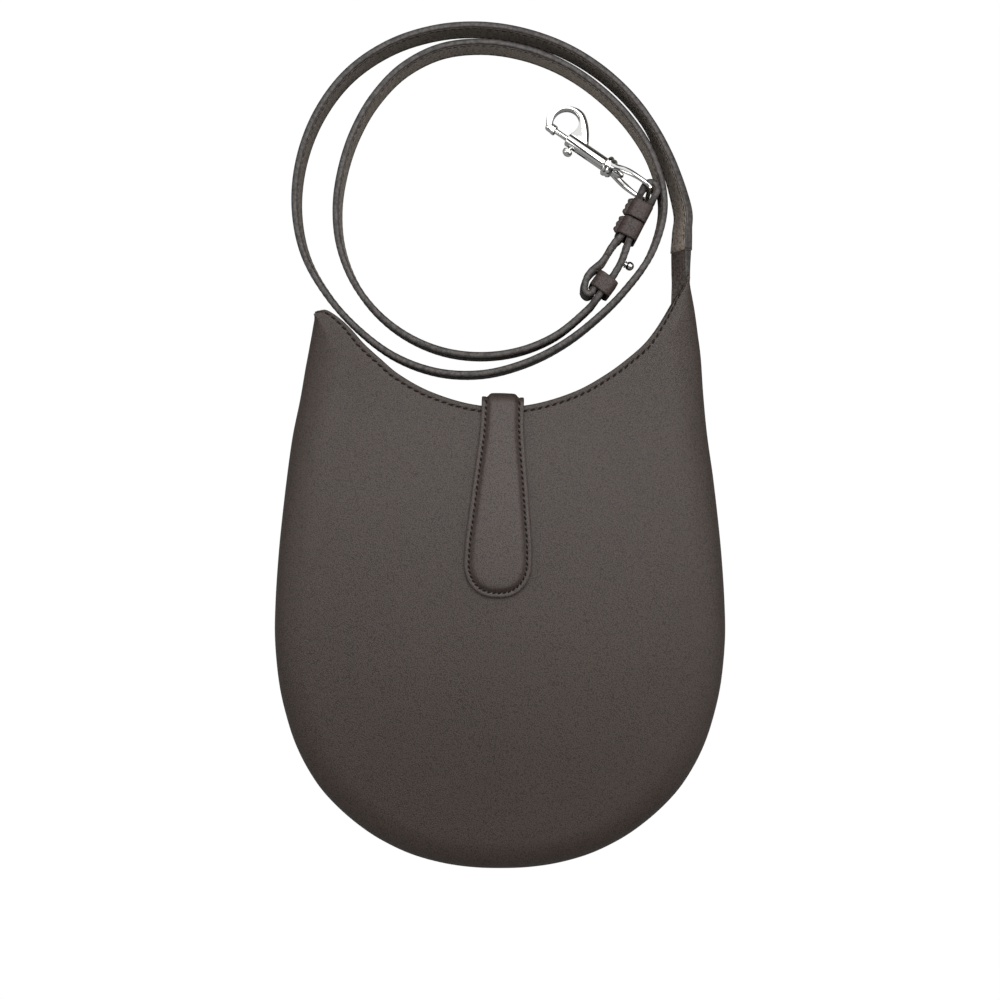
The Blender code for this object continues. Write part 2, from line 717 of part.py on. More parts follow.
def tab_side():
    """One side of the tab, from its fold to the middle of its tip, as places across and along."""
    runs = [0, rise_run] + [rise_run + bend_run * (step + 1) / TAB_BEND_STEPS for step in range(TAB_BEND_STEPS)]
    tip_from = tab_run - TAB_HALF_WIDTH * TAB_TIP_SHARE
    places = [share for share, half in TAB_OUTLINE_SHARES]
    flat_runs = [rise_run + bend_run + share * TAB_LENGTH - plan_shift for share in places]
    runs += [run for run in flat_runs if runs[-1] < run < tip_from - TAB_HALF_WIDTH * TAB_TIP_STEP_SHARE]
    side = [(tab_half_width(run), run) for run in runs]
    for step in range(TAB_TIP_STEPS + 1):
        turn = step / TAB_TIP_STEPS * math.pi / 2
        side.append((TAB_HALF_WIDTH * math.cos(turn) ** TAB_TIP_POWER,
                     tip_from + (tab_run - tip_from) * math.sin(turn)))
    return side


def tab_layer(node, finish, height, thickness, insets, start, frame):
    """A layer of the tab: rings set in from its outline and drawn in to its middle line.

    Each ring has a rise, which fades out down the fold to the hinge.
    """
    side = tab_side()
    outline = [(-across, run) for across, run in side] + [(across, run) for across, run in side[-2::-1]]
    centre_end = tab_run - TAB_HALF_WIDTH
    sheet = bmesh.new()
    bmesh.ops.create_grid(sheet, x_segments=len(outline) - 1, y_segments=len(insets), size=0.5)
    for vert in sheet.verts:
        across, run = outline[round((vert.co.x + 0.5) * (len(outline) - 1))]
        ring = round((vert.co.y + 0.5) * len(insets))
        core = Vector((0, min(run, centre_end)))
        edge = Vector((across, run))
        inset, rise = insets[min(ring, len(insets) - 1)]
        place = core if ring == len(insets) else edge + (core - edge).normalized() * inset
        rise *= min(run / rise_run, 1)
        vert.co = tab_point(place.x, start + place.y * (tab_run - start) / tab_run, height + rise)
    bmesh.ops.remove_doubles(sheet, verts=sheet.verts, dist=WELD)
    mesh = bpy.data.meshes.new(node)
    sheet.to_mesh(mesh)
    sheet.free()
    made = add_part(node, mesh, finish)
    solid = made.modifiers.new("thickness", "SOLIDIFY")
    solid.thickness = thickness
    solid.offset = -1
    solid.use_even_offset = True
    mesh.shade_smooth()
    mesh.set_sharp_from_angle(angle=math.radians(SHARP_ANGLE))
    made.parent = frame
    made.matrix_parent_inverse = frame.matrix_world.inverted()
    return made


closure_flap = tab_layer("closure_flap", "tab_leather", tab_stack, TAB_PLY,
                         ((0, 0), (TAB_MARGIN, 0), (TAB_MARGIN + TAB_SHOULDER, TAB_RISE)), 0, hinge_frame)
closure_backing = tab_layer("closure_backing", "tab_leather", TAB_BACKING, TAB_BACKING, ((0, 0),), 0, hinge_frame)
closure_filler = tab_layer("closure_filler", "filler_board", TAB_BACKING + GAP + TAB_FILLER, TAB_FILLER,
                           ((TAB_FILLER_INSET, 0),), rise_run + bend_run, hinge_frame)


def surface_frame(name, along, offset):
    """A frame that lies on the front, under the tab's middle line."""
    place = tab_matrix @ Vector((0, -along, 0))
    slope_x = (depth_at(place.x + OVERRUN, place.y) - depth_at(place.x - OVERRUN, place.y)) / OVERRUN / 2
    slope_y = (depth_at(place.x, place.y + OVERRUN) - depth_at(place.x, place.y - OVERRUN)) / OVERRUN / 2
    normal = Vector((-slope_x, -slope_y, 1)).normalized()
    place.z = depth_at(place.x, place.y)
    turn = normal.to_track_quat("Z", "Y").to_matrix().to_4x4()
    return add_frame(name, Matrix.Translation(place + normal * offset) @ turn)


magnet_along = TAB_LENGTH - plan_shift - MAGNET_FROM_TIP
magnet_height = GAP + TAB_BACKING + GAP + TAB_FILLER / 2
magnet_frame = surface_frame("magnet_frame", magnet_along, magnet_height)
magnet_frame.parent = hinge_frame
magnet_frame.matrix_parent_inverse = hinge_frame.matrix_world.inverted()
bpy.context.view_layer.update()
half_board = TAB_FILLER / 2
closure_magnet = turned("closure_magnet", ((half_board, 0), (half_board, MAGNET_RADIUS),
                                           (-half_board, MAGNET_RADIUS), (-half_board, 0)),
                        magnet_frame, "plain_steel")
magnet_hole = turned("magnet_hole", ((OVERRUN, 0), (OVERRUN, MAGNET_RADIUS + GAP),
                                     (-OVERRUN, MAGNET_RADIUS + GAP), (-OVERRUN, 0)), magnet_frame)
boolean(closure_filler, "DIFFERENCE", magnet_hole)

plate_frame = surface_frame("plate_frame", magnet_along, -LEATHER - 2 * GAP - PLATE_THICKNESS / 2)
half_plate = PLATE_THICKNESS / 2
magnet_plate = turned("magnet_plate", ((half_plate, 0), (half_plate, PLATE_RADIUS),
                                       (-half_plate, PLATE_RADIUS), (-half_plate, 0)),
                      plate_frame, "plain_steel")

# The tab's root, a J that is sewn inside the back edge
inner = circle_points((0, lower_bend_z), TAB_BEND_RADIUS, BEND_STEPS, 0, -math.pi / 2)
outer = circle_points((0, lower_bend_z), TAB_BEND_RADIUS + tab_stack, BEND_STEPS, -math.pi / 2, 0)
root_top = hinge_z - GAP / 2
root_loop = [(TAB_BEND_RADIUS, root_top), *inner, (-TAB_ROOT_LENGTH, root_floor + tab_stack),
             (-TAB_ROOT_LENGTH, root_floor), *outer, (TAB_BEND_RADIUS + tab_stack, root_top)]
root_turn = Matrix(((0, 0, 1, 0), (1, 0, 0, 0), (0, 1, 0, 0), (0, 0, 0, 1)))
root_frame = add_frame("root_frame", tab_matrix @ root_turn)
root_width = 2 * TAB_HALF_WIDTH * TAB_OUTLINE_SHARES[0][1]
closure_root = add_part("closure_root", flat_outline("closure_root", [root_loop], root_width), "tab_leather",
                        root_frame)
closure_root = as_mesh(closure_root)

# The D-ring in the left horn, and the loop that holds it
ring_z = LEATHER + GAP + LINING + GAP + LOOP_PLY + GAP + RING_WIRE
ring_frame = add_frame("ring_bar_axis", Matrix.Translation((RING_FROM_SIDE - BODY_HALF_WIDTH, RING_BAR_Y, ring_z)))
bow = circle_points((0, RING_DEPTH - RING_HALF_WIDTH), RING_HALF_WIDTH, 2 * BEND_STEPS + 1, 0, math.pi)
corner = RING_HALF_WIDTH - RING_WIRE
ring_points = [(corner, 0, 0), (RING_HALF_WIDTH, RING_WIRE, 0)] + [(x, y, 0) for x, y in bow]
ring_points += [(-RING_HALF_WIDTH, RING_WIRE, 0), (-corner, 0, 0)]
d_ring = round_bar("d_ring", ring_points, RING_WIRE, ring_frame, "polished_steel", cyclic=True)

loop_radius = RING_WIRE + GAP + LOOP_PLY
loop_turn = Matrix(((0, 0, 1, 0), (1, 0, 0, 0), (0, 1, 0, 0), (0, 0, 0, 1)))
loop_frame = add_frame("loop_frame", ring_frame.matrix_world @ loop_turn)
loop_loop = circle_points((0, 0), loop_radius, 2 * BEND_STEPS, -math.pi / 2, math.pi / 2)
loop_loop += [(-LOOP_LENGTH / 2, 2 * LOOP_PLY - loop_radius), (-LOOP_LENGTH, 2 * LOOP_PLY - loop_radius),
              (-LOOP_LENGTH, -loop_radius)]
bar_hole = circle_points((0, 0), RING_WIRE + GAP, 2 * BEND_STEPS)
ring_loop = add_part("ring_loop", flat_outline("ring_loop", [loop_loop, bar_hole], 2 * LOOP_HALF_WIDTH),
                     "strap_leather", loop_frame)
ring_loop = as_mesh(ring_loop)

# The strap: its tongue in the right horn, then the coil, which stands on its edge
strap_z = STRAP_LIFT + STRAP_WIDTH / 2
root_line = Route([place for place, lean, width in ROOT_ROUTE])
root_marks = [index / ROOT_STEPS for index in range(ROOT_STEPS + 1)]


def root_value(share, column):
    """Lean or width of the tongue at a share of its length."""
    place = share * (len(ROOT_ROUTE) - 1)
    low = min(int(place), len(ROOT_ROUTE) - 2)
    one, two = ROOT_ROUTE[low][column], ROOT_ROUTE[low + 1][column]
    return one + (two - one) * (place - low)


strap_root = flat_strip("strap_root", [root_line.at(share) for share in root_marks],
                        [math.radians(root_value(share, 1)) for share in root_marks],
                        [root_value(share, 2) for share in root_marks])

coil = [Vector((COIL_CENTRE[0] + radius * math.cos(step * COIL_STEP),
                COIL_CENTRE[1] + radius * math.sin(step * COIL_STEP), strap_z))
        for step, radius in enumerate(COIL_RADII)]
end_matrix = Matrix.Translation(END_PLACE) @ Matrix.Rotation(END_HEADING, 4, "Z")
end_drop = LANE_HEIGHT - END_PLACE[2]
stop_place = end_matrix @ Vector((STRAP_STOP, LANE_OFFSET, end_drop))
route = [Vector((x, y, strap_z)) for x, y in ROUTE_START] + coil
route += [Vector((x, y, LANE_HEIGHT)) for x, y in ROUTE_END]
route += [end_matrix @ Vector((LANE_END, LANE_OFFSET, end_drop)), stop_place]
strap_line = Route(route)
strap_marks = [STRAP_END_SHARE * index / STRAP_POINTS for index in range(STRAP_POINTS)]
strap_marks += [STRAP_END_SHARE + (1 - STRAP_END_SHARE) * index / STRAP_END_POINTS
                for index in range(STRAP_END_POINTS + 1)]
lean_share = LEAN_LENGTH / strap_line.length
strap = flat_strip("strap", [strap_line.at(share) for share in strap_marks],
                   [ROOT_LEAN * max(1 - share / lean_share, 0) for share in strap_marks])

# The stud, through the strap above its keepers
stud_matrix = Matrix.Translation(STUD_PLACE) @ Matrix.Rotation(STUD_HEADING, 4, "Z")
stud_frame = add_frame("stud_frame", stud_matrix)
face = STRAP_THICKNESS / 2
base_top = GAP + STUD_BASE_THICKNESS - face
flange_from = face + GAP
flange_to = flange_from + STUD_FLANGE_THICKNESS
ball = [(STUD_BALL_CENTRE + STUD_BALL * math.sin(turn), STUD_BALL * math.cos(turn))
        for turn in [math.pi / 2 - step * math.pi / BEND_STEPS for step in range(BEND_STEPS)]
        if STUD_BALL * math.cos(turn) > STUD_NECK or turn > 0]
stud_head = turned("stud_head", ball + [(flange_to, STUD_NECK), (flange_to, STUD_FLANGE), (flange_from, STUD_FLANGE),
                                        (flange_from, STUD_SHANK), (base_top + GAP, STUD_SHANK),
                                        (base_top + GAP, 0)], stud_frame, "polished_steel", "X")
stud_base = turned("stud_base", ((base_top, 0), (base_top, STUD_BASE), (GAP - face, STUD_BASE), (GAP - face, 0)),
                   stud_frame, "polished_steel", "X")
stud_hole = turned("stud_hole", ((OVERRUN, 0), (OVERRUN, STUD_SHANK + GAP), (base_top + GAP, STUD_SHANK + GAP),
                                 (base_top + GAP, STUD_BASE + GAP), (-OVERRUN, STUD_BASE + GAP), (-OVERRUN, 0)),
                   stud_frame, None, "X")
strap = as_mesh(strap)
boolean(strap, "DIFFERENCE", stud_hole)

# The strap's end, turned round the bar of the eye, and its tail, turned back into the sliding keeper
lanes = [Vector((STRAP_STOP - 2 * GAP, LANE_OFFSET, end_drop))]
level_at = KEEPER_UPPER_AT - KEEPER_LENGTH / 2 - GAP
lanes += [Vector((along, aside, end_drop * min(along / level_at, 1))) for along, aside in LANE_POINTS]
turn_points = [Vector((x, y, 0)) for x, y in circle_points((TURN_CENTRE, 0), TURN_RADIUS, BEND_STEPS + 1,
                                                          math.pi / 2, 3 * math.pi / 2)]
left = [Vector((point.x, -point.y, point.z)) for point in lanes[:0:-1]]
left += [Vector((STRAP_STOP, -LANE_OFFSET, end_drop)), Vector((LANE_END, -LANE_OFFSET, end_drop))]
end_points = [end_matrix @ point for point in lanes + turn_points + left]
end_points += [Vector((x, y, LANE_HEIGHT)) for x, y in LEFT_BAND_ROUTE]
end_line = Route(end_points, 4)
end_marks = [index / END_STEPS for index in range(END_STEPS + 1)]
strap_end_loop = flat_strip("strap_end_loop", [end_line.at(share) for share in end_marks],
                            [0 for share in end_marks])
tail_line = Route([Vector((x, y, LANE_HEIGHT)) for x, y in TAIL_ROUTE], 4)
tail_marks = [index / TAIL_STEPS for index in range(TAIL_STEPS + 1)]
strap_tail = flat_strip("strap_tail", [tail_line.at(share) for share in tail_marks], [0 for share in tail_marks])


def keeper(node, matrix, half_opening, length):
    """A band of leather round the strap. The frame's X axis runs along the strap."""
    turn = Matrix(((0, 0, 1, 0), (1, 0, 0, 0), (0, 1, 0, 0), (0, 0, 0, 1)))
    frame = add_frame(node + "_frame", matrix @ turn)
    half_height = STRAP_WIDTH / 2 + GAP
    outer = rounded_box(half_opening + KEEPER_PLY, half_height + KEEPER_PLY, KEEPER_CORNER + KEEPER_PLY)
    inner = rounded_box(half_opening, half_height, KEEPER_CORNER)
    made = add_part(node, flat_outline(node, [outer, inner], length), "strap_leather", frame)
    return as_mesh(made)


lane_half_opening = LANE_OFFSET + STRAP_THICKNESS / 2 + GAP
lane_matrix = end_matrix @ Matrix.Translation((0, 0, end_drop))
keeper_upper = keeper("keeper_upper", lane_matrix @ Matrix.Translation((KEEPER_UPPER_AT, 0, 0)),
                      lane_half_opening, KEEPER_LENGTH)
keeper_lower = keeper("keeper_lower", lane_matrix @ Matrix.Translation((KEEPER_LOWER_AT, 0, 0)),
                      lane_half_opening, KEEPER_LENGTH)
slide_matrix = Matrix.Translation((*SLIDE_PLACE, LANE_HEIGHT)) @ Matrix.Rotation(SLIDE_HEADING, 4, "Z")
keeper_slide = keeper("keeper_slide", slide_matrix, SLIDE_HALF_OPENING, SLIDE_LENGTH)

# The snap hook, in a frame whose X axis runs from the eye's bar to the nose
snap_matrix = (Matrix.Translation(END_PLACE) @ Matrix.Rotation(SNAP_HEADING, 4, "Z")
               @ Matrix.Rotation(SNAP_SLOPE, 4, "Y"))
snap_frame = add_frame("snap_axis", snap_matrix)
eye_frame = add_frame("eye_bar_axis", snap_matrix @ Matrix.Rotation(EYE_LEAN, 4, "X"))

bow_height = EYE_HALF_OPENING + EYE_WIRE
upper = [(along * COLLAR_FROM, 0, height * bow_height) for along, height in EYE_BOW_SHARES]
eye_points = upper + [(x, y, -z * EYE_LOWER_SHARE) for x, y, z in upper[::-1]]
swivel_eye = round_bar("swivel_eye", eye_points, EYE_WIRE, eye_frame, "polished_steel")
swivel_eye = as_mesh(swivel_eye)
edge = BARREL_CHAMFER
collar = turned("eye_collar", ((COLLAR_TO, 0), (COLLAR_TO, COLLAR_RADIUS - edge), (COLLAR_TO - edge, COLLAR_RADIUS),
                               (COLLAR_FROM + edge, COLLAR_RADIUS), (COLLAR_FROM, COLLAR_RADIUS - edge),
                               (COLLAR_FROM, 0)), eye_frame, None, "X")
boolean(swivel_eye, "UNION", collar)
neck_clearance = RIVET_NECK + GAP
head_clearance = RIVET_HEAD + GAP
eye_bore = turned("eye_bore", ((COLLAR_TO + OVERRUN, 0), (COLLAR_TO + OVERRUN, neck_clearance),
                               (COLLAR_FROM, neck_clearance), (COLLAR_FROM, head_clearance),
                               (RIVET_HEAD_FROM, head_clearance), (RIVET_HEAD_FROM, 0)), eye_frame, None, "X")
boolean(swivel_eye, "DIFFERENCE", eye_bore)

seat_to = COLLAR_TO + GAP + RIVET_SEAT
head_to = COLLAR_FROM - GAP
head_length = head_to - RIVET_HEAD_FROM
swivel_rivet = turned("swivel_rivet", [(seat_to, 0), (seat_to, RIVET_NECK), (head_to, RIVET_NECK)]
                      + [(RIVET_HEAD_FROM + head_length * along, RIVET_HEAD * radius)
                         for along, radius in RIVET_BELL_SHARES], snap_frame, "polished_steel", "X")

barrel_from = COLLAR_TO + GAP
snap_body = turned("snap_body", ((BARREL_TO, 0), (BARREL_TO, BARREL_RADIUS - edge), (BARREL_TO - edge, BARREL_RADIUS),
                                 (barrel_from + edge, BARREL_RADIUS), (barrel_from, BARREL_RADIUS - edge),
                                 (barrel_from, 0)), snap_frame, "polished_steel", "X")
hook_points = [(HOOK_FOOT_ALONG + along * HOOK_LENGTH, -aside * HOOK_HEIGHT) for along, aside in HOOK_SHARES]
hook_hole = circle_points((HOOK_CENTRE_ALONG, -HOOK_CENTRE_ASIDE), HOOK_HOLE, HOOK_HOLE_STEPS)
hook_curve = flat_outline("hook_plate", [plan(smooth_points([(x, y, 0) for x, y in hook_points], 2)), hook_hole],
                          2 * HOOK_HALF_THICKNESS)
hook_plate = as_mesh(add_cutter("hook_plate", hook_curve, snap_frame))
rounding = hook_plate.modifiers.new("rounding", "BEVEL")
rounding.width = HOOK_BEVEL
rounding.segments = 2
rounding.limit_method = "ANGLE"
rounding.angle_limit = math.radians(2 * SHARP_ANGLE)
boolean(snap_body, "UNION", hook_plate)
nose = turned("hook_nose", ((NOSE_TO, 0), (NOSE_TO, NOSE_RADIUS - 2 * edge), (NOSE_TO - 2 * edge, NOSE_RADIUS),
                            (NOSE_FROM, NOSE_RADIUS), (NOSE_FROM, 0)), snap_frame, None, "X")
boolean(snap_body, "UNION", nose)
gate = box("hook_gate", (BARREL_TO, -GATE_ASIDE, -BARREL_RADIUS - OVERRUN),
           (NOSE_FROM, BARREL_RADIUS + OVERRUN, BARREL_RADIUS + OVERRUN), snap_frame)
boolean(snap_body, "DIFFERENCE", gate)
bore_radius = BOLT_RADIUS + GAP
barrel_bore = turned("barrel_bore", ((BARREL_TO + OVERRUN, 0), (BARREL_TO + OVERRUN, bore_radius),
                                     (BORE_FROM, bore_radius), (BORE_FROM, 0)), snap_frame, None, "X")
boolean(snap_body, "DIFFERENCE", barrel_bore)
nose_socket = turned("nose_socket", ((NOSE_SOCKET_TO, 0), (NOSE_SOCKET_TO, bore_radius),
                                     (NOSE_FROM - OVERRUN, bore_radius), (NOSE_FROM - OVERRUN, 0)),
                     snap_frame, None, "X")
boolean(snap_body, "DIFFERENCE", nose_socket)
rivet_seat = turned("rivet_seat", ((seat_to + GAP, 0), (seat_to + GAP, neck_clearance),
                                   (barrel_from - OVERRUN, neck_clearance), (barrel_from - OVERRUN, 0)),
                    snap_frame, None, "X")
boolean(snap_body, "DIFFERENCE", rivet_seat)
knob_slot = box("knob_slot", (SLOT_FROM, 0, -SLOT_HALF_WIDTH), (SLOT_TO, BARREL_RADIUS + OVERRUN, SLOT_HALF_WIDTH),
                snap_frame)
boolean(snap_body, "DIFFERENCE", knob_slot)

snap_bolt = turned("snap_bolt", ((BOLT_TO, 0), (BOLT_TO, BOLT_RADIUS - edge), (BOLT_TO - edge, BOLT_RADIUS),
                                 (BOLT_FROM, BOLT_RADIUS), (BOLT_FROM, 0)), snap_frame, "polished_steel", "X")
knob_frame = add_frame("knob_frame", snap_matrix @ Matrix.Translation((KNOB_AT, 0, 0))
                       @ Matrix.Rotation(math.pi / 2, 4, "Z"))
knob_height = KNOB_TO - KNOB_FROM
stem_from = BOLT_RADIUS + GAP
snap_thumb_knob = turned("snap_thumb_knob", [(KNOB_FROM + knob_height * along, KNOB_RADIUS * radius)
                                             for along, radius in KNOB_SHARES]
                         + [(KNOB_FROM, KNOB_STEM), (stem_from, KNOB_STEM), (stem_from, 0)],
                         knob_frame, "polished_steel", "X")

spring_from = BORE_FROM + GAP + SPRING_WIRE
spring_length = BOLT_FROM - BOLT_TRAVEL - GAP - SPRING_WIRE - spring_from
count = SPRING_TURNS * SPRING_POINTS_PER_TURN
spring_points = [(spring_from + spring_length * step / count,
                  SPRING_RADIUS * math.cos(2 * math.pi * step / SPRING_POINTS_PER_TURN),
                  SPRING_RADIUS * math.sin(2 * math.pi * step / SPRING_POINTS_PER_TURN))
                 for step in range(count + 1)]
snap_spring = round_bar("snap_spring", spring_points, SPRING_WIRE, snap_frame, "plain_steel", resolution=0)
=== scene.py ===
"""A leather sling bag that lies on its back on a pale studio floor, its strap in a loose coil."""

import math

import bmesh
import bpy
from mathutils import Matrix, Vector


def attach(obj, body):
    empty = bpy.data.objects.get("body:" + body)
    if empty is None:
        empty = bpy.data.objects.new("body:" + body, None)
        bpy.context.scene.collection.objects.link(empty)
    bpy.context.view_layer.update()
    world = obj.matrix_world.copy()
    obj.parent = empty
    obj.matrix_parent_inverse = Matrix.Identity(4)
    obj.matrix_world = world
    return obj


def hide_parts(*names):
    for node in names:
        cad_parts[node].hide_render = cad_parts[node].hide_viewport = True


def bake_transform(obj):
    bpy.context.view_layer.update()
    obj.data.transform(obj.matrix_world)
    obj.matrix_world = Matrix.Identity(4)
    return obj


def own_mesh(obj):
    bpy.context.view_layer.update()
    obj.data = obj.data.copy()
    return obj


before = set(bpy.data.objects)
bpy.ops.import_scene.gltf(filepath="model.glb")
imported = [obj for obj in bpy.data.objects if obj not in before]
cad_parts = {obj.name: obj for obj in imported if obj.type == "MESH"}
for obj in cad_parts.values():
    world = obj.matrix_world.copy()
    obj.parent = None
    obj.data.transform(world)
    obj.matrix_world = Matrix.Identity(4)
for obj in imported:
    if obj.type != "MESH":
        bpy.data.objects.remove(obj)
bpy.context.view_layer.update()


# The studio: a camera straight above the bag, on a pale floor under soft lamps. The floor and
# the air show white to the eye, but light the bag less. Gloss sees a grey wall, a dark ceiling,
# a white soft box and a black wall, from one side of the studio to the other.
CAMERA_HEIGHT = 0.478
CAMERA_Y = 0.0264
HALF_VIEW = 0.230
WHITE = (1, 1, 1, 1)
FLOOR_SIZE = 3.0
FLOOR_SHOWS_WHITE = 0.985
FLOOR_GLOW = 1.02
FLOOR_PAINT = (0.25, 0.25, 0.25, 1)
AIR_LEVEL = 0.16
STUDIO_AXIS = (0.30, 0.40, 0.0)
STUDIO_LEVELS = (
    (0.00, 0.30), (0.15, 0.34), (0.21, 0.05), (0.44, 0.10), (0.50, 0.90), (0.84, 1.00), (0.89, 0.01),
)

# Each lamp's place, size and power. All are turned to the bag.
LAMPS = {
    "lamp_top": ((0.05, 0.50, 1.35), 1.10, 18.5),
    "lamp_left": ((-0.95, 0.10, 0.55), 0.60, 2.6),
    "lamp_right": ((0.95, 0.20, 0.55), 0.60, 2.2),
}

camera_data = bpy.data.cameras.new("studio_camera")
camera_data.angle = 2 * math.atan(HALF_VIEW / CAMERA_HEIGHT)
camera_data.clip_start = 0.01
camera = bpy.data.objects.new("studio_camera", camera_data)
camera.location = (0, CAMERA_Y, CAMERA_HEIGHT)
bpy.context.scene.collection.objects.link(camera)
bpy.context.scene.camera = camera
bpy.context.scene.view_settings.view_transform = "Standard"


def feed(tree, node, inputs):
    """Sets the inputs of a node, each to a value or to the output of another node."""
    for socket, value in inputs.items():
        if isinstance(value, bpy.types.Node):
            value = value.outputs[0]
        if isinstance(value, bpy.types.NodeSocket):
            tree.links.new(value, node.inputs[socket])
        else:
            node.inputs[socket].default_value = value
    return node


def add(tree, kind, inputs=None, **settings):
    """A new node in a tree, with its settings and inputs."""
    made = tree.nodes.new(kind if kind.startswith("Node") else "ShaderNode" + kind)
    for name, value in settings.items():
        setattr(made, name, value)
    return feed(tree, made, inputs or {})


def any_ray(tree, *names):
    """One when the ray is of any of the kinds named."""
    path = add(tree, "LightPath")
    total = path.outputs[names[0]]
    for name in names[1:]:
        total = add(tree, "Math", {0: total, 1: path.outputs[name]}, operation="MAXIMUM").outputs[0]
    return total


world = bpy.data.worlds.new("studio_air")
world.use_nodes = True
bpy.context.scene.world = world
tree = world.node_tree
tree.nodes.clear()
heading = add(tree, "TexCoord").outputs["Generated"]
across = add(tree, "VectorMath", {0: heading, 1: STUDIO_AXIS}, operation="DOT_PRODUCT")
walls = add(tree, "ValToRGB", {0: add(tree, "Math", {0: across.outputs["Value"], 1: 0.5})})
for at, level in STUDIO_LEVELS[1:-1]:
    walls.color_ramp.elements.new(at)
for element, (at, level) in zip(walls.color_ramp.elements, STUDIO_LEVELS):
    element.position = at
    element.color = (level, level, level, 1)
seen = add(tree, "Background", {"Color": WHITE, "Strength": 1.0})
lit = add(tree, "Background", {"Color": WHITE, "Strength": AIR_LEVEL})
mirrored = add(tree, "Background", {"Color": walls})
around = add(tree, "MixShader", {0: any_ray(tree, "Is Camera Ray", "Is Transmission Ray"), 1: lit, 2: seen})
air = add(tree, "MixShader", {0: any_ray(tree, "Is Glossy Ray"), 1: around, 2: mirrored})
add(tree, "OutputWorld", {0: air})

floor_paint = bpy.data.materials.new("studio_floor")
floor_paint.use_nodes = True
tree = floor_paint.node_tree
tree.nodes.clear()
plain = add(tree, "BsdfDiffuse", {"Color": FLOOR_PAINT})
glow = add(tree, "Emission", {"Color": WHITE, "Strength": FLOOR_GLOW})
share = add(tree, "Math", {0: any_ray(tree, "Is Camera Ray", "Is Transmission Ray"), 1: FLOOR_SHOWS_WHITE},
            operation="MULTIPLY")
add(tree, "OutputMaterial", {0: add(tree, "MixShader", {0: share, 1: plain, 2: glow})})

work = bmesh.new()
bmesh.ops.create_grid(work, x_segments=2, y_segments=2, size=FLOOR_SIZE / 2)
mesh = bpy.data.meshes.new("studio_floor")
work.to_mesh(mesh)
work.free()
floor = bpy.data.objects.new("studio_floor", mesh)
bpy.context.scene.collection.objects.link(floor)
mesh.materials.append(floor_paint)

for name, (place, size, power) in LAMPS.items():
    lamp_data = bpy.data.lights.new(name, "AREA")
    lamp_data.size = size
    lamp_data.energy = power
    lamp = bpy.data.objects.new(name, lamp_data)
    lamp.location = place
    lamp.rotation_euler = (-Vector(place)).to_track_quat("-Z", "Y").to_euler()
    bpy.context.scene.collection.objects.link(lamp)


# The strap: a long band of two plies of leather, glued and sewn along both edges, with painted
# edges. It stands on its edge in a loose coil of two laps, from the right horn to the snap hook.
STRAP_WIDTH = 0.0120
STRAP_THICKNESS = 0.0030
STRAP_Z = 0.0063
ROOT_LEAN = math.radians(27)
ROOT_SWELL = 1.45
LEAN_LENGTH = 0.0620
COIL_CENTRE = (-0.0081, 0.1586)
COIL_STEP = math.radians(15)
COIL_RADII = (
    0.0907, 0.0866, 0.0843, 0.0822, 0.0810, 0.0805, 0.0811, 0.0824, 0.0841, 0.0853, 0.0852, 0.0847,
    0.0841, 0.0829, 0.0803, 0.0786, 0.0781, 0.0771, 0.0753, 0.0731, 0.0719, 0.0721, 0.0747, 0.0793,
    0.0820, 0.0804, 0.0773, 0.0748, 0.0736, 0.0732, 0.0735, 0.0737, 0.0721, 0.0692, 0.0667, 0.0654,
    0.0656, 0.0664, 0.0670, 0.0673, 0.0674, 0.0674, 0.0672, 0.0671, 0.0669, 0.0664,
)
ROUTE_START = ((0.0822, 0.1391), (0.0826, 0.1480))
ROUTE_END = ((0.0439, 0.1176), (0.0494, 0.1250), (0.0542, 0.1328), (0.0564, 0.1382))
LANE_HEIGHT = 0.0078
LANE_OFFSET = 0.0020
LANE_END = 0.0228
STRAP_STOP = 0.0183
END_PLACE = (0.0668, 0.1643, 0.0096)
END_HEADING = math.radians(242.5)
STRAP_RINGS = 620

# Quarter of the band's section, from the middle of a face to the middle of an edge
BAND_QUARTER = (
    (1.00, 0.00), (1.00, 0.35), (1.00, 0.62), (0.985, 0.69), (0.92, 0.735), (0.92, 0.765), (0.985, 0.81),
    (1.00, 0.845), (0.97, 0.885), (0.93, 0.900), (0.90, 0.915), (0.80, 0.955), (0.58, 0.985), (0.30, 1.00),
    (0.00, 1.00),
)
PAINT_FROM = 0.90
WELD = 0.00001


def smooth_points(points, steps):
    """Points on a smooth curve that passes through the given ones, steps to each span."""
    given = [Vector(point) for point in points]
    ends = [2 * given[0] - given[1]] + given + [2 * given[-1] - given[-2]]
    result = []
    for before, start, stop, after in zip(ends, ends[1:], ends[2:], ends[3:]):
        for step in range(steps):
            t = step / steps
            result.append(0.5 * ((2 * start) + (stop - before) * t
                                 + (2 * before - 5 * start + 4 * stop - after) * t ** 2
                                 + (3 * start - before - 3 * stop + after) * t ** 3))
    result.append(given[-1])
    return result


class Line:
    """A smooth line through placed points, read by the share of its length."""

    def __init__(self, points, steps=12):
        self.points = smooth_points(points, steps)
        self.marks = [0.0]
        for one, two in zip(self.points, self.points[1:]):
            self.marks.append(self.marks[-1] + (two - one).length)
        self.length = self.marks[-1]

    def at(self, share):
        wanted = min(max(share, 0.0), 1.0) * self.length
        low, high = 0, len(self.marks) - 1
        while high - low > 1:
            middle = (low + high) // 2
            if self.marks[middle] > wanted:
                high = middle
            else:
                low = middle
        span = self.marks[high] - self.marks[low]
        return self.points[low].lerp(self.points[high], (wanted - self.marks[low]) / span)

    def heading(self, share, reach=0.0015):
        step = reach / self.length
        return (self.at(share + step) - self.at(share - step)).normalized()


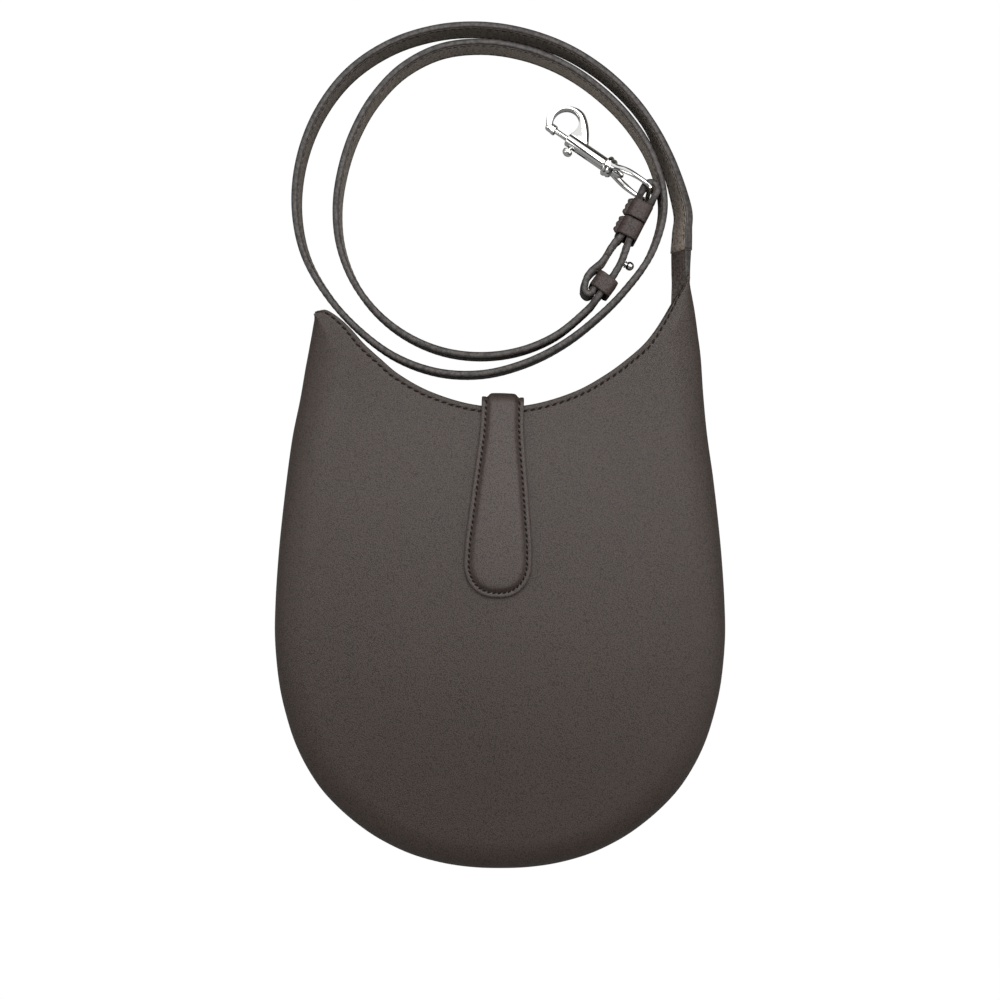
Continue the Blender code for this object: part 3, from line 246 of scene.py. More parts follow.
def finished(name, work, materials, sharp=None):
    """The piece's object, at the origin, from a finished bmesh."""
    mesh = bpy.data.meshes.new(name)
    work.to_mesh(mesh)
    work.free()
    for material in materials:
        mesh.materials.append(material)
    mesh.shade_smooth()
    if sharp:
        mesh.set_sharp_from_angle(angle=math.radians(sharp))
    made = bpy.data.objects.new(name, mesh)
    bpy.context.scene.collection.objects.link(made)
    return made


def grid(columns, rows, place):
    """A bmesh grid. Place gives each point's spot, from its column and its share of the way up the rows."""
    work = bmesh.new()
    bmesh.ops.create_grid(work, x_segments=columns, y_segments=rows, size=0.5)
    for vert in work.verts:
        vert.co = place(round((vert.co.x + 0.5) * columns), vert.co.y + 0.5)
    return work


def closed(work, matrix=Matrix()):
    """The bmesh with its seams joined, its ends capped and its faces turned out, in a frame."""
    bmesh.ops.remove_doubles(work, verts=work.verts, dist=WELD)
    bmesh.ops.holes_fill(work, edges=[edge for edge in work.edges if edge.is_boundary], sides=0)
    bmesh.ops.recalc_face_normals(work, faces=work.faces)
    bmesh.ops.transform(work, verts=work.verts, matrix=matrix)
    return work


def section_ring(quarter, paint_from):
    """The whole section from its quarter: shares aside and up, and which points are painted."""
    ring = list(quarter)
    ring += [(-aside, up) for aside, up in quarter[-2::-1]]
    ring += [(-aside, -up) for aside, up in quarter[1:]]
    ring += [(aside, -up) for aside, up in quarter[-2:0:-1]]
    return [(aside, up, abs(up) >= paint_from) for aside, up in ring]


def sweep_band(name, stations, ring, materials):
    """A closed tube of the section along stations of place, direction aside, direction up, and half sizes.
    The second material is for the painted points, and a third one for the face on the inner side."""
    work = bmesh.new()
    bmesh.ops.create_grid(work, x_segments=len(stations) - 1, y_segments=len(ring), size=0.5)
    spots = {}
    for vert in work.verts:
        place, aside, up, half_aside, half_up = stations[round((vert.co.x + 0.5) * (len(stations) - 1))]
        spots[vert] = ring[round((vert.co.y + 0.5) * len(ring)) % len(ring)]
        vert.co = place + aside * spots[vert][0] * half_aside + up * spots[vert][1] * half_up
    for face in work.faces:
        if all(spots[vert][2] for vert in face.verts):
            face.material_index = 1
        elif len(materials) > 2 and sum(spots[vert][0] for vert in face.verts) > 0:
            face.material_index = 2
    return finished(name, closed(work), materials)


def band_stations(line, count, lean, half_thickness, half_width):
    """Stations of a band that stands on its edge along a line, leaning by an angle."""
    made = []
    for index in range(count + 1):
        share = index / count
        along = line.heading(share)
        aside = Vector((0, 0, 1)).cross(along).normalized()
        up = along.cross(aside).normalized()
        turn = Matrix.Rotation(lean(share), 3, along)
        made.append((line.at(share), turn @ aside, turn @ up, half_thickness(share), half_width(share)))
    return made


def new_group(name, inputs):
    """A new node group that gives a colour, a roughness and a height, and its input sockets."""
    group = bpy.data.node_groups.new(name, "ShaderNodeTree")
    for socket, value in inputs.items():
        kind = "NodeSocketColor" if isinstance(value, tuple) else "NodeSocketFloat"
        group.interface.new_socket(name=socket, in_out="INPUT", socket_type=kind).default_value = value
    for socket, kind in (("Color", "NodeSocketColor"), ("Roughness", "NodeSocketFloat"),
                         ("Height", "NodeSocketFloat")):
        group.interface.new_socket(name=socket, in_out="OUTPUT", socket_type=kind)
    return group, group.nodes.new("NodeGroupInput").outputs


def leather_grain_group():
    """Fine pebble grain: rounded cells with creases between them, pores, cloudy dye, and painted shade that
    darkens the creases.
    """
    group, given = new_group("leather_grain", {"Tone": (0.05, 0.04, 0.04, 1), "Cells": 1400.0,
                                               "Gloss": 0.45, "Cloud": 0.10})
    place = add(group, "TexCoord").outputs["Object"]
    warp = add(group, "TexNoise", {"Vector": place, "Scale": 420.0, "Detail": 2.0})
    bend = add(group, "MixRGB", {0: 0.0009, 1: place, 2: warp.outputs["Color"]}, blend_type="ADD")
    cells = add(group, "TexVoronoi", {"Vector": bend, "Scale": given["Cells"], "Smoothness": 0.35},
                feature="SMOOTH_F1")
    pores = add(group, "TexNoise", {"Vector": place, "Scale": 3800.0, "Detail": 3.0})
    height = add(group, "Math", {0: cells, 1: -1.0, 2: pores}, operation="MULTIPLY_ADD")
    cloud = add(group, "TexNoise", {"Vector": place, "Scale": 26.0, "Detail": 4.0})
    centred = add(group, "Math", {0: cloud, 1: 0.5}, operation="SUBTRACT")
    amount = add(group, "Math", {0: centred, 1: given["Cloud"]}, operation="MULTIPLY")
    # Painted shade: the colour is darker in the low creases between the cells and lighter on their raised
    # tops.
    crease_painted_shade = add(group, "MapRange", {"Value": cells, "From Min": 0.35, "From Max": 0.75,
                                     "To Min": 1.15, "To Max": 0.45})
    shade = add(group, "Math", {0: crease_painted_shade, 1: amount}, operation="ADD")
    dyed = add(group, "VectorMath", {0: given["Tone"], "Scale": shade}, operation="SCALE")
    rough = add(group, "Math", {0: cells, 1: 0.16, 2: given["Gloss"]}, operation="MULTIPLY_ADD")
    add(group, "NodeGroupOutput", {"Color": dyed, "Roughness": rough, "Height": height})
    return group


LEATHER_GRAIN = leather_grain_group()


def new_material(name):
    """A new material, its node tree and its surface shader."""
    made = bpy.data.materials.new(name)
    made.use_nodes = True
    return made, made.node_tree, made.node_tree.nodes["Principled BSDF"]


def grouped(name, group, given, strength, depth, finish):
    """A material that a node group colours, roughens and raises by a depth in metres."""
    made, tree, shader = new_material(name)
    grain = add(tree, "Group", given, node_tree=group).outputs
    bump = add(tree, "Bump", {"Strength": strength, "Distance": depth, "Height": grain["Height"]})
    feed(tree, shader, {"Base Color": grain["Color"], "Roughness": grain["Roughness"], "Normal": bump})
    feed(tree, shader, finish)
    return made


def leather(name, tone, cells, gloss, depth, cloud=0.10, specular=0.35):
    """A dyed leather. Depth is the height of its grain in metres."""
    given = {"Tone": (*tone, 1), "Cells": cells, "Gloss": gloss, "Cloud": cloud}
    return grouped(name, LEATHER_GRAIN, given, 1.0, depth, {"Specular IOR Level": specular})


def two_tone(tree, source, tone, dark, light, first=0.0, last=1.0):
    """A ramp from a darker to a lighter shade of a tone."""
    ramp = add(tree, "ValToRGB", {0: source})
    for element, share, at in zip(ramp.color_ramp.elements, (dark, light), (first, last)):
        element.position = at
        element.color = (*[value * share for value in tone], 1)
    return ramp


strap_face = leather("strap_leather", (0.018, 0.014, 0.012), 1500, 0.42, 0.00006)
# Painted light: the strap's inner face is a lit copy of its leather, far lighter than the outer face,
# standing in for the light that falls inside the coil.
strap_inside_painted_lit = leather("strap_inner_face_painted_lit", (0.290, 0.245, 0.205), 1300, 0.46, 0.00005, cloud=0.2)
strap_paint = leather("strap_edge_paint", (0.046, 0.039, 0.036), 700, 0.38, 0.000012, cloud=0.04)
STRAP_MATERIALS = [strap_face, strap_paint, strap_inside_painted_lit]

coil = [Vector((COIL_CENTRE[0] + radius * math.cos(step * COIL_STEP),
                COIL_CENTRE[1] + radius * math.sin(step * COIL_STEP), STRAP_Z))
        for step, radius in enumerate(COIL_RADII)]
end_matrix = Matrix.Translation(END_PLACE) @ Matrix.Rotation(END_HEADING, 4, "Z")
end_drop = LANE_HEIGHT - END_PLACE[2]
route = [Vector((x, y, STRAP_Z)) for x, y in ROUTE_START] + coil
route += [Vector((x, y, LANE_HEIGHT)) for x, y in ROUTE_END]
route += [end_matrix @ Vector((LANE_END, LANE_OFFSET, end_drop)),
          end_matrix @ Vector((STRAP_STOP, LANE_OFFSET, end_drop))]
strap_line = Line(route)
lean_share = LEAN_LENGTH / strap_line.length
BAND_RING = section_ring(BAND_QUARTER, PAINT_FROM)


def strap_lean(share):
    return ROOT_LEAN * max(1 - share / lean_share, 0)


def strap_half_thickness(share):
    """Half the band's thickness, which swells towards its sewn end."""
    return STRAP_THICKNESS / 2 * (1 + (ROOT_SWELL - 1) * max(1 - share / lean_share, 0) ** 1.5)


strap_stations = band_stations(strap_line, STRAP_RINGS, strap_lean, strap_half_thickness,
                               lambda share: STRAP_WIDTH / 2)
strap = sweep_band("long_strap", strap_stations, BAND_RING, STRAP_MATERIALS)
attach(strap, "bag")
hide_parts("strap")

# Waxed thread, sewn in slanted stitches that sit in a groove
THREAD_TONE = (0.007, 0.005, 0.0045)
THREAD_WIDTH = 0.00055
THREAD_FLATNESS = 0.6
STITCH_PITCH = 0.0033
STITCH_SHARE = 0.78
STITCH_SLANT = math.radians(10)
STITCH_ROW = 0.75
STITCH_LEVEL = 0.95
STRAP_SEAM = (0.004, 0.995)
STITCH_BUMP = 0.00005

thread, tree, shader = new_material("waxed_thread")
fibre = add(tree, "TexNoise", {"Vector": add(tree, "TexCoord").outputs["Object"], "Scale": 5200.0})
feed(tree, shader, {"Base Color": two_tone(tree, fibre, THREAD_TONE, 0.6, 1.7), "Roughness": 0.6,
                    "Specular IOR Level": 0.12,
                    "Normal": add(tree, "Bump", {"Strength": 0.5, "Distance": STITCH_BUMP, "Height": fibre})})


def sew(name, places, material, length, width=THREAD_WIDTH, slant=STITCH_SLANT):
    """A row of stitches, one at each place: point, direction along the seam, direction out."""
    work = bmesh.new()
    bmesh.ops.create_uvsphere(work, u_segments=8, v_segments=6, radius=0.5)
    bmesh.ops.rotate(work, verts=work.verts, cent=(0, 0, 0), matrix=Matrix.Rotation(math.pi / 2, 3, "Y"))
    one = bpy.data.meshes.new("one_stitch")
    work.to_mesh(one)
    work.free()
    row = bmesh.new()
    for place, along, out in places:
        aside = out.cross(along).normalized()
        along = aside.cross(out).normalized()
        turn = Matrix((along, aside, out.normalized())).transposed().to_4x4()
        size = Matrix.Diagonal((length, width, width * THREAD_FLATNESS, 1))
        stitch = one.copy()
        stitch.transform(Matrix.Translation(place) @ turn @ Matrix.Rotation(slant, 4, "Z") @ size)
        row.from_mesh(stitch)
        bpy.data.meshes.remove(stitch)
    bpy.data.meshes.remove(one)
    return finished(name, row, [material])


def stitch_shares(line, pitch, first=0.0, last=1.0):
    """Shares of a line's length at the middle of each stitch."""
    count = int((last - first) * line.length / pitch)
    return [first + (last - first) * (index + 0.5) / count for index in range(count)]


def band_stitches(line, lean, thickness_at, half_width, first, last):
    """Places of both rows of stitches on both faces of a band."""
    places = []
    for share in stitch_shares(line, STITCH_PITCH, first, last):
        along = line.heading(share)
        flat = Vector((0, 0, 1)).cross(along)
        turn = Matrix.Rotation(lean(share), 3, along)
        aside, up = turn @ flat.normalized(), turn @ along.cross(flat).normalized()
        for face in (1, -1):
            for row in (1, -1):
                place = (line.at(share) + aside * face * thickness_at(share) * STITCH_LEVEL
                         + up * row * half_width * STITCH_ROW)
                places.append((place, along, aside * face))
    return places


strap_seam = sew("long_strap_stitches",
                 band_stitches(strap_line, strap_lean, strap_half_thickness, STRAP_WIDTH / 2, *STRAP_SEAM),
                 thread, STITCH_PITCH * STITCH_SHARE)
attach(strap_seam, "bag")


# The front: one sheet of leather, moulded over a form so that its sides and foot roll under,
# and sewn to a facing along the mouth. Its edge at the mouth is painted and rubbed smooth.
BODY_HALF_WIDTH = 0.1018
BODY_LENGTH = 0.2515
BODY_DEPTH = 0.0250
BODY_FOOT_Y = -0.1395
LEATHER = 0.0016
GAP = 0.0003
SIDE_ROLL = 0.0165
SEAM_TUCK = 0.0015
HALF_OUTLINE_SHARES = (
    (0.000, 0.000), (0.130, 0.002), (0.262, 0.010), (0.400, 0.026), (0.530, 0.051), (0.630, 0.078),
    (0.722, 0.110), (0.800, 0.145), (0.866, 0.187), (0.914, 0.229), (0.948, 0.272), (0.975, 0.318),
    (0.991, 0.365), (1.000, 0.418), (0.998, 0.470), (0.990, 0.530), (0.976, 0.600), (0.950, 0.698),
    (0.925, 0.775),
)
LEFT_HORN_SHARES = ((0.893, 0.842), (0.869, 0.900), (0.842, 0.957), (0.831, 0.978), (0.820, 0.990))
RIGHT_HORN_SHARES = (
    (0.909, 0.850), (0.899, 0.914), (0.886, 0.957), (0.870, 1.000), (0.858, 1.024), (0.846, 1.044),
    (0.837, 1.062),
)
RIM_SHARES = (
    (-0.8075, 0.9920), (-0.7947, 0.9962), (-0.778, 0.9982), (-0.764, 0.9978), (-0.744, 0.994),
    (-0.708, 0.984), (-0.667, 0.969), (-0.631, 0.953), (-0.596, 0.937), (-0.520, 0.909), (-0.440, 0.882),
    (-0.312, 0.853), (-0.147, 0.831), (0.010, 0.824), (0.167, 0.831), (0.334, 0.853), (0.462, 0.882),
    (0.560, 0.911), (0.640, 0.940), (0.698, 0.969), (0.742, 0.997), (0.772, 1.018), (0.797, 1.032),
    (0.815, 1.043), (0.830, 1.056),
)
DEPTH_SHARES = ((-0.05, 0.84), (0.10, 0.91), (0.25, 0.98), (0.42, 1.00), (0.60, 0.93), (0.75, 0.79),
                (0.824, 0.68), (0.92, 0.62), (1.10, 0.60))
SIDE_FALL_SHARE = 0.16
WIDEST_HEIGHT_SHARE = 0.28
ROLL_LIMIT_SHARE = 0.62
ROLL_POWER = 2.3
SKIVED_SHARE = 0.35

# Shares of the sheet's columns, of the sewn edge and of the mouth that go together, from the left
# and from the right
LEFT_COLUMN_SHARES = (
    (0.00, 0.000, 0.000), (0.05, 0.021, 0.105), (0.10, 0.045, 0.215), (0.20, 0.140, 0.340),
    (0.30, 0.250, 0.410), (0.40, 0.370, 0.458),
)
RIGHT_COLUMN_SHARES = (
    (0.00, 0.000, 0.000), (0.05, 0.0295, 0.105), (0.10, 0.054, 0.215), (0.20, 0.142, 0.340),
    (0.30, 0.250, 0.410), (0.40, 0.370, 0.458), (0.50, 0.500, 0.500),
)
TUCK_STEPS, ROLL_STEPS, INNER_STEPS = 4, 16, 22
TUCK_ROWS_SHARE = 1 / 15
ROLL_ROWS_SHARE = 6 / 15
FRONT_STEPS = 300
RIM_SEAM = 0.0025
SEAM_GROOVE = 0.00026
GROOVE_WIDTH = 0.00050
SEAM_COLUMNS = slice(3, -6)
FULL_RAY = 0.012
LEAST_CROSSING = 0.45
RAY_LIMIT_SHARE = 0.9
RIM_DROP = 0.00035
RIM_DROP_WIDTH = 0.0007
TIP_BULGE = 0.0006
TIP_COLUMNS = 0.012
TIP_HEADING = Vector((-0.75, 0.66))
MOUTH_STITCH = 0.74 * STITCH_PITCH
MOUTH_STITCH_WIDTH = 0.0009
MOUTH_STITCH_SINK_SHARE = 0.4
MOUTH_STITCH_SLANT = math.radians(16)

# Distances from the mouth's edge of the last rows of the sheet
RIM_ROWS = (0.0048, 0.0038, 0.0032, 0.0029, 0.0027, 0.0025, 0.0023, 0.0021, 0.0018, 0.0014, 0.0009, 0.0005,
            0.0002, 0.0)


def read_shares(table, place):
    """The value of a table of shares at a place."""
    if place <= table[0][0]:
        return table[0][1]
    for (left, low), (right, high) in zip(table, table[1:]):
        if place <= right:
            t = (place - left) / (right - left)
            return low + (high - low) * t
    return table[-1][1]


def smooth_table(shares, steps, column=1):
    """A finer table of shares, along a smooth curve through the given one."""
    return [(point[0], point[column]) for point in smooth_points(shares, steps)]


def body_point(across_share, up_share):
    return Vector((across_share * BODY_HALF_WIDTH, BODY_FOOT_Y + up_share * BODY_LENGTH))


outline_left = [(-across, up) for across, up in HALF_OUTLINE_SHARES[1:] + LEFT_HORN_SHARES]
outline_shares = outline_left[::-1] + list(HALF_OUTLINE_SHARES + RIGHT_HORN_SHARES)
OUTLINE = Line([body_point(*share) for share in outline_shares])
RIM = Line([body_point(*share) for share in RIM_SHARES])
DEPTH_TABLE = smooth_table(DEPTH_SHARES, 24)
column_shares = list(LEFT_COLUMN_SHARES) + [(1 - a, 1 - b, 1 - c) for a, b, c in RIGHT_COLUMN_SHARES[::-1]]
EDGE_TABLE = smooth_table(column_shares, 24)
RIM_TABLE = smooth_table(column_shares, 24, 2)


def depth_at(x, y):
    """Height of the filled bag's front over the floor, away from its rolled sides."""
    up = (y - BODY_FOOT_Y) / BODY_LENGTH
    across = x / BODY_HALF_WIDTH
    return BODY_DEPTH * read_shares(DEPTH_TABLE, up) * (1 - SIDE_FALL_SHARE * across ** 2)


class Column:
    """One line of the front from the sewn edge, round the roll, to the mouth."""

    def __init__(self, share):
        self.edge = OUTLINE.at(read_shares(EDGE_TABLE, share))
        self.rim = RIM.at(read_shares(RIM_TABLE, share))
        heading = OUTLINE.heading(read_shares(EDGE_TABLE, share), 0.004)
        self.inward = Vector((-heading.y, heading.x))
        self.roll = min(SIDE_ROLL, ROLL_LIMIT_SHARE * (self.rim - self.edge).length)
        self.start = self.edge + self.inward * self.roll
        self.ray = (self.rim - self.start).length
        along_rim = RIM.heading(read_shares(RIM_TABLE, share), 0.002)
        across_rim = Vector((along_rim.y, -along_rim.x)).dot((self.start - self.rim).normalized())
        self.seam_scale = min(self.ray / FULL_RAY, 1) / max(across_rim, LEAST_CROSSING)
        self.widest = WIDEST_HEIGHT_SHARE * depth_at(self.edge.x, self.edge.y)
        self.skive = SKIVED_SHARE + (1 - SKIVED_SHARE) * min(2 * self.roll / SIDE_ROLL, 1)

    def point(self, row):
        """The outer face of the front at a share of the rows."""
        if row <= TUCK_ROWS_SHARE:
            turn = row / TUCK_ROWS_SHARE * math.pi / 2
            place = self.edge + self.inward * SEAM_TUCK * (1 - math.sin(turn))
            seam = LEATHER + GAP
            return Vector((place.x, place.y, seam + (self.widest - seam) * (1 - math.cos(turn))))
        if row <= ROLL_ROWS_SHARE:
            turn = (row - TUCK_ROWS_SHARE) / (ROLL_ROWS_SHARE - TUCK_ROWS_SHARE) * math.pi / 2
            place = self.edge + self.inward * self.roll * (1 - max(math.cos(turn), 0) ** (2 / ROLL_POWER))
            top = depth_at(place.x, place.y)
            rise = math.sin(turn) ** (2 / ROLL_POWER)
            return Vector((place.x, place.y, self.widest + (top - self.widest) * rise))
        place = self.start.lerp(self.rim, (row - ROLL_ROWS_SHARE) / (1 - ROLL_ROWS_SHARE))
        return Vector((place.x, place.y, depth_at(place.x, place.y)))

    def row_at(self, from_rim):
        """The row that is a distance from the mouth's edge."""
        return 1 - (1 - ROLL_ROWS_SHARE) * min(from_rim / self.ray, RAY_LIMIT_SHARE)


def panel_rows():
    """Rows of the sheet: shares up to the start of the seam, then distances from the mouth's edge."""
    rows = [("share", TUCK_ROWS_SHARE * step / TUCK_STEPS) for step in range(TUCK_STEPS)]
    rows += [("share", TUCK_ROWS_SHARE + (ROLL_ROWS_SHARE - TUCK_ROWS_SHARE) * step / ROLL_STEPS)
             for step in range(ROLL_STEPS)]
    rows += [("inner", step / INNER_STEPS) for step in range(INNER_STEPS)]
    return rows + [("rim", distance) for distance in RIM_ROWS]


def row_share(column, kind, value):
    if kind == "share":
        return value
    last = column.row_at(RIM_ROWS[0] * column.seam_scale)
    if kind == "inner":
        return ROLL_ROWS_SHARE + (last - ROLL_ROWS_SHARE) * value
    return column.row_at(value * column.seam_scale)


def outward(share, row, step=0.002):
    """The direction out of the front's face."""
    one, two = Column(max(share - step, 0)), Column(min(share + step, 1))
    middle = Column(share)
    along = two.point(row) - one.point(row)
    rise = middle.point(min(row + step, 1)) - middle.point(max(row - step, 0))
    return along.cross(rise).normalized()


def apply_modifiers(piece):
    """Turns the piece's modifiers into its mesh."""
    bpy.context.view_layer.update()
    depsgraph = bpy.context.evaluated_depsgraph_get()
    mesh = bpy.data.meshes.new_from_object(piece.evaluated_get(depsgraph))
    mesh.name = piece.name
    piece.modifiers.clear()
    piece.data = mesh
    return piece


def thicken(piece, thickness, rim_material, edge_round, weights=None):
    """Gives a sheet its thickness, below its face, and rounds its cut edges."""
    solid = piece.modifiers.new("thickness", "SOLIDIFY")
    solid.thickness = thickness
    solid.offset = -1
    solid.material_offset_rim = rim_material
    if weights:
        group = piece.vertex_groups.new(name="skived")
        for index, weight in enumerate(weights):
            group.add([index], weight, "REPLACE")
        solid.vertex_group = group.name
    if edge_round:
        soft = piece.modifiers.new("rounding", "BEVEL")
        soft.width = edge_round
        soft.segments = 3
        soft.limit_method = "ANGLE"
        soft.angle_limit = math.radians(60)
    apply_modifiers(piece)
    piece.data.shade_smooth()
    piece.data.set_sharp_from_angle(angle=math.radians(50))
    return piece


rows = panel_rows()
front_columns = [Column(step / FRONT_STEPS) for step in range(FRONT_STEPS + 1)]
front_weights = []


def front_point(step, t):
    """A point of the front's face, with its seam's groove, its rounded mouth and the left horn's swell."""
    column = front_columns[step]
    kind, value = rows[round(t * (len(rows) - 1))]
    spot = column.point(row_share(column, kind, value))
    front_weights.append(column.skive)
    if kind == "rim":
        spot.z -= SEAM_GROOVE * math.exp(-((value - RIM_SEAM) / GROOVE_WIDTH) ** 2)
        spot.z -= RIM_DROP * max(1 - value / RIM_DROP_WIDTH, 0) ** 2
    near = 1 - step / FRONT_STEPS / TIP_COLUMNS
    if near > 0:
        across = (spot.xy - column.edge).length / max((column.rim - column.edge).length, WELD)
        spot.xy += TIP_HEADING * TIP_BULGE * 4 * across * (1 - across) * near
    return spot


front_leather = leather("front_leather", (0.047, 0.0335, 0.0272), 2100, 0.42, 0.00008, cloud=0.16)
rim_paint = leather("rim_edge_paint", (0.030, 0.024, 0.022), 800, 0.40, 0.000012, cloud=0.05)
front = finished("front_leather_panel", grid(FRONT_STEPS, len(rows) - 1, front_point),
                 [front_leather, rim_paint])
thicken(front, LEATHER, 1, 0.00025, front_weights)
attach(front, "bag")
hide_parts("front_panel")

seam_line = Line([column.point(column.row_at(RIM_SEAM * column.seam_scale))
                  for column in front_columns[SEAM_COLUMNS]], 2)
sunk = Vector((0, 0, SEAM_GROOVE * MOUTH_STITCH_SINK_SHARE))
places = [(seam_line.at(share) - sunk, seam_line.heading(share), Vector((0, 0, 1)))
          for share in stitch_shares(seam_line, STITCH_PITCH)]
rim_seam = sew("mouth_stitches", places, thread, MOUTH_STITCH, MOUTH_STITCH_WIDTH, MOUTH_STITCH_SLANT)
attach(rim_seam, "bag")


# The back: a flat sheet of the same leather, sewn to the turned edge of the front all round.
# The bag lies on it, and its seam shows as a row of stitches on the underside.
BACK_MARGIN = 0.0010
BACK_ROWS = 24
BACK_SEAM = 0.0042
BACK_STITCH_LEVEL = 0.00012
BACK_STITCH_WIDTH = 0.0003


def flat_sheet(name, steps, rows, place, height, materials, thickness, first=0.0, last=1.0,
               edge_round=0.0002):
    """A flat sheet with its top at a height. Place gives a point, from its column and share of the rows."""
    made_columns = [Column(first + (last - first) * step / steps) for step in range(steps + 1)]
    work = grid(steps, rows, lambda step, t: (*place(made_columns[step], t), height))
    return thicken(finished(name, work, materials), thickness, len(materials) - 1, edge_round)


back = flat_sheet("back_leather_panel", 240, BACK_ROWS,
                  lambda column, t: (column.edge + column.inward * BACK_MARGIN).lerp(column.rim, t),
                  LEATHER, [front_leather, rim_paint], LEATHER)
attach(back, "bag")
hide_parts("back_panel")

places = []
for share in stitch_shares(OUTLINE, STITCH_PITCH):
    along = OUTLINE.heading(share, 0.004)
    spot = OUTLINE.at(share) + Vector((-along.y, along.x)) * BACK_SEAM
    places.append((Vector((*spot, BACK_STITCH_LEVEL)), Vector((*along, 0)), Vector((0, 0, -1))))
back_seam = sew("back_stitches", places, thread, STITCH_PITCH * STITCH_SHARE, BACK_STITCH_WIDTH)
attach(back_seam, "bag")


# The linings of thin suede behind both leathers, and the facings of smooth leather that
# finish the inside of the mouth above them.
LINING = 0.0006
LINING_SLACK = 0.0024
LINING_CLEARANCE = 0.0009
FACING_CLEARANCE = 0.0005
FACING_WIDTH = 0.0100
FACING_THICKNESS = 0.0010
FACING_LIMIT_SHARE = 0.80
SEAM_CLEARANCE = 0.0006
BACK_LINING_MARGIN = 0.0046
LINING_ENDS_SHARES = (0.07, 0.92)
FACING_ENDS_SHARES = (0.02, 0.95)
BACK_LINING_ENDS_SHARES = (0.05, 0.95)
SUEDE_TONE = (0.085, 0.070, 0.060)

# Suede: a short dull nap with cloudy strokes and no shine
suede, tree, shader = new_material("lining_suede")
place = add(tree, "TexCoord").outputs["Object"]
nap = add(tree, "TexNoise", {"Vector": place, "Scale": 2600.0, "Detail": 5.0})
stroke = add(tree, "TexNoise", {"Vector": place, "Scale": 60.0})
both = add(tree, "Math", {0: nap, 1: stroke}, operation="MULTIPLY")
feed(tree, shader, {"Base Color": two_tone(tree, both, SUEDE_TONE, 0.65, 1.35, 0.12, 0.42), "Roughness": 0.92,
                    "Specular IOR Level": 0.2, "Sheen Weight": 0.25,
                    "Normal": add(tree, "Bump", {"Strength": 0.7, "Distance": 0.00012, "Height": nap})})


def facing_row(column, clearance=0.0):
    inset = min(FACING_WIDTH / column.ray, FACING_LIMIT_SHARE) + clearance / column.ray
    return 1 - (1 - ROLL_ROWS_SHARE) * inset


def inner_skin(name, materials, thickness, sink, first_row, last_row, steps, rows, ends):
    """A sheet that follows the inside of the front."""
    shares = [ends[0] + (ends[1] - ends[0]) * step / steps for step in range(steps + 1)]
    made_columns = [Column(share) for share in shares]
    weights = []

    def point(step, t):
        column = made_columns[step]
        low = first_row(column)
        row = low + (last_row(column) - low) * t
        weights.append(column.skive)
        return column.point(row) - outward(shares[step], row) * sink(row)

    return thicken(finished(name, grid(steps, rows, point), materials), thickness, 0, 0.0, weights)


def lining_sink(row):
    t = (row - TUCK_ROWS_SHARE) / (1 - TUCK_ROWS_SHARE)
    return LEATHER + LINING_CLEARANCE + LINING_SLACK * math.sin(math.pi * min(max(t, 0), 1))


facing_leather = leather("facing_leather", (0.060, 0.050, 0.045), 1500, 0.46, 0.00004)
front_lining = inner_skin("front_suede", [suede], LINING, lining_sink, lambda column: TUCK_ROWS_SHARE,
                          lambda column: facing_row(column, SEAM_CLEARANCE), 80, 20, LINING_ENDS_SHARES)
front_facing = inner_skin("front_facing", [facing_leather], FACING_THICKNESS,
                          lambda row: LEATHER + FACING_CLEARANCE, facing_row, lambda column: 1.0, 120, 4,
                          FACING_ENDS_SHARES)
back_facing = flat_sheet("back_facing", 120, 4,
                         lambda column, t: column.point(facing_row(column)).xy.lerp(column.rim, t),
                         LEATHER + GAP + FACING_THICKNESS, [facing_leather], FACING_THICKNESS)
back_lining = flat_sheet("back_suede", 80, 20,
                         lambda column, t: (column.edge + column.inward * BACK_LINING_MARGIN).lerp(
                             column.point(facing_row(column, SEAM_CLEARANCE)).xy, t),
                         LEATHER + GAP + LINING, [suede], LINING, *BACK_LINING_ENDS_SHARES, edge_round=0.0)
for piece, node in ((front_lining, "front_lining"), (front_facing, "front_rim_facing"),
                    (back_facing, "back_rim_facing"), (back_lining, "back_lining")):
    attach(piece, "bag")
    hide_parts(node)


# The closure tab: two plies of leather over a stiff board, raised in the middle, sewn all
# round, and folded over the mouth from inside the back, where its root is stitched down.
TAB_LENGTH = 0.0884
TAB_HALF_WIDTH = 0.0147
TAB_PLY = 0.0011
TAB_BACKING = 0.0010
TAB_BEND_RADIUS = 0.0018
TAB_RIM_CLEARANCE = 0.0020
TAB_SLANT = math.radians(1.76)
TAB_CENTRE_X = 0.0012
TAB_ROOT_LENGTH = 0.0320
TAB_TIP_POWER = 0.85
TAB_OUTLINE_SHARES = (
    (0.000, 0.637), (0.100, 0.640), (0.200, 0.667), (0.300, 0.724), (0.420, 0.800), (0.520, 0.859),
    (0.600, 0.905), (0.690, 0.960), (0.760, 0.992), (0.830, 1.000),
)
TAB_SEAM = 0.0021
TAB_PITCH = 0.0025
TAB_STITCH_LEVEL = -0.00012
TAB_STITCH = 0.84 * TAB_PITCH
TAB_STITCH_WIDTH = 0.0010
TAB_STITCH_SLANT = math.radians(28)
TAB_CENTRE_RISE = 0.00004
TAB_FOLD_RUN = 0.009
TAB_FOLD_PAST = 0.001

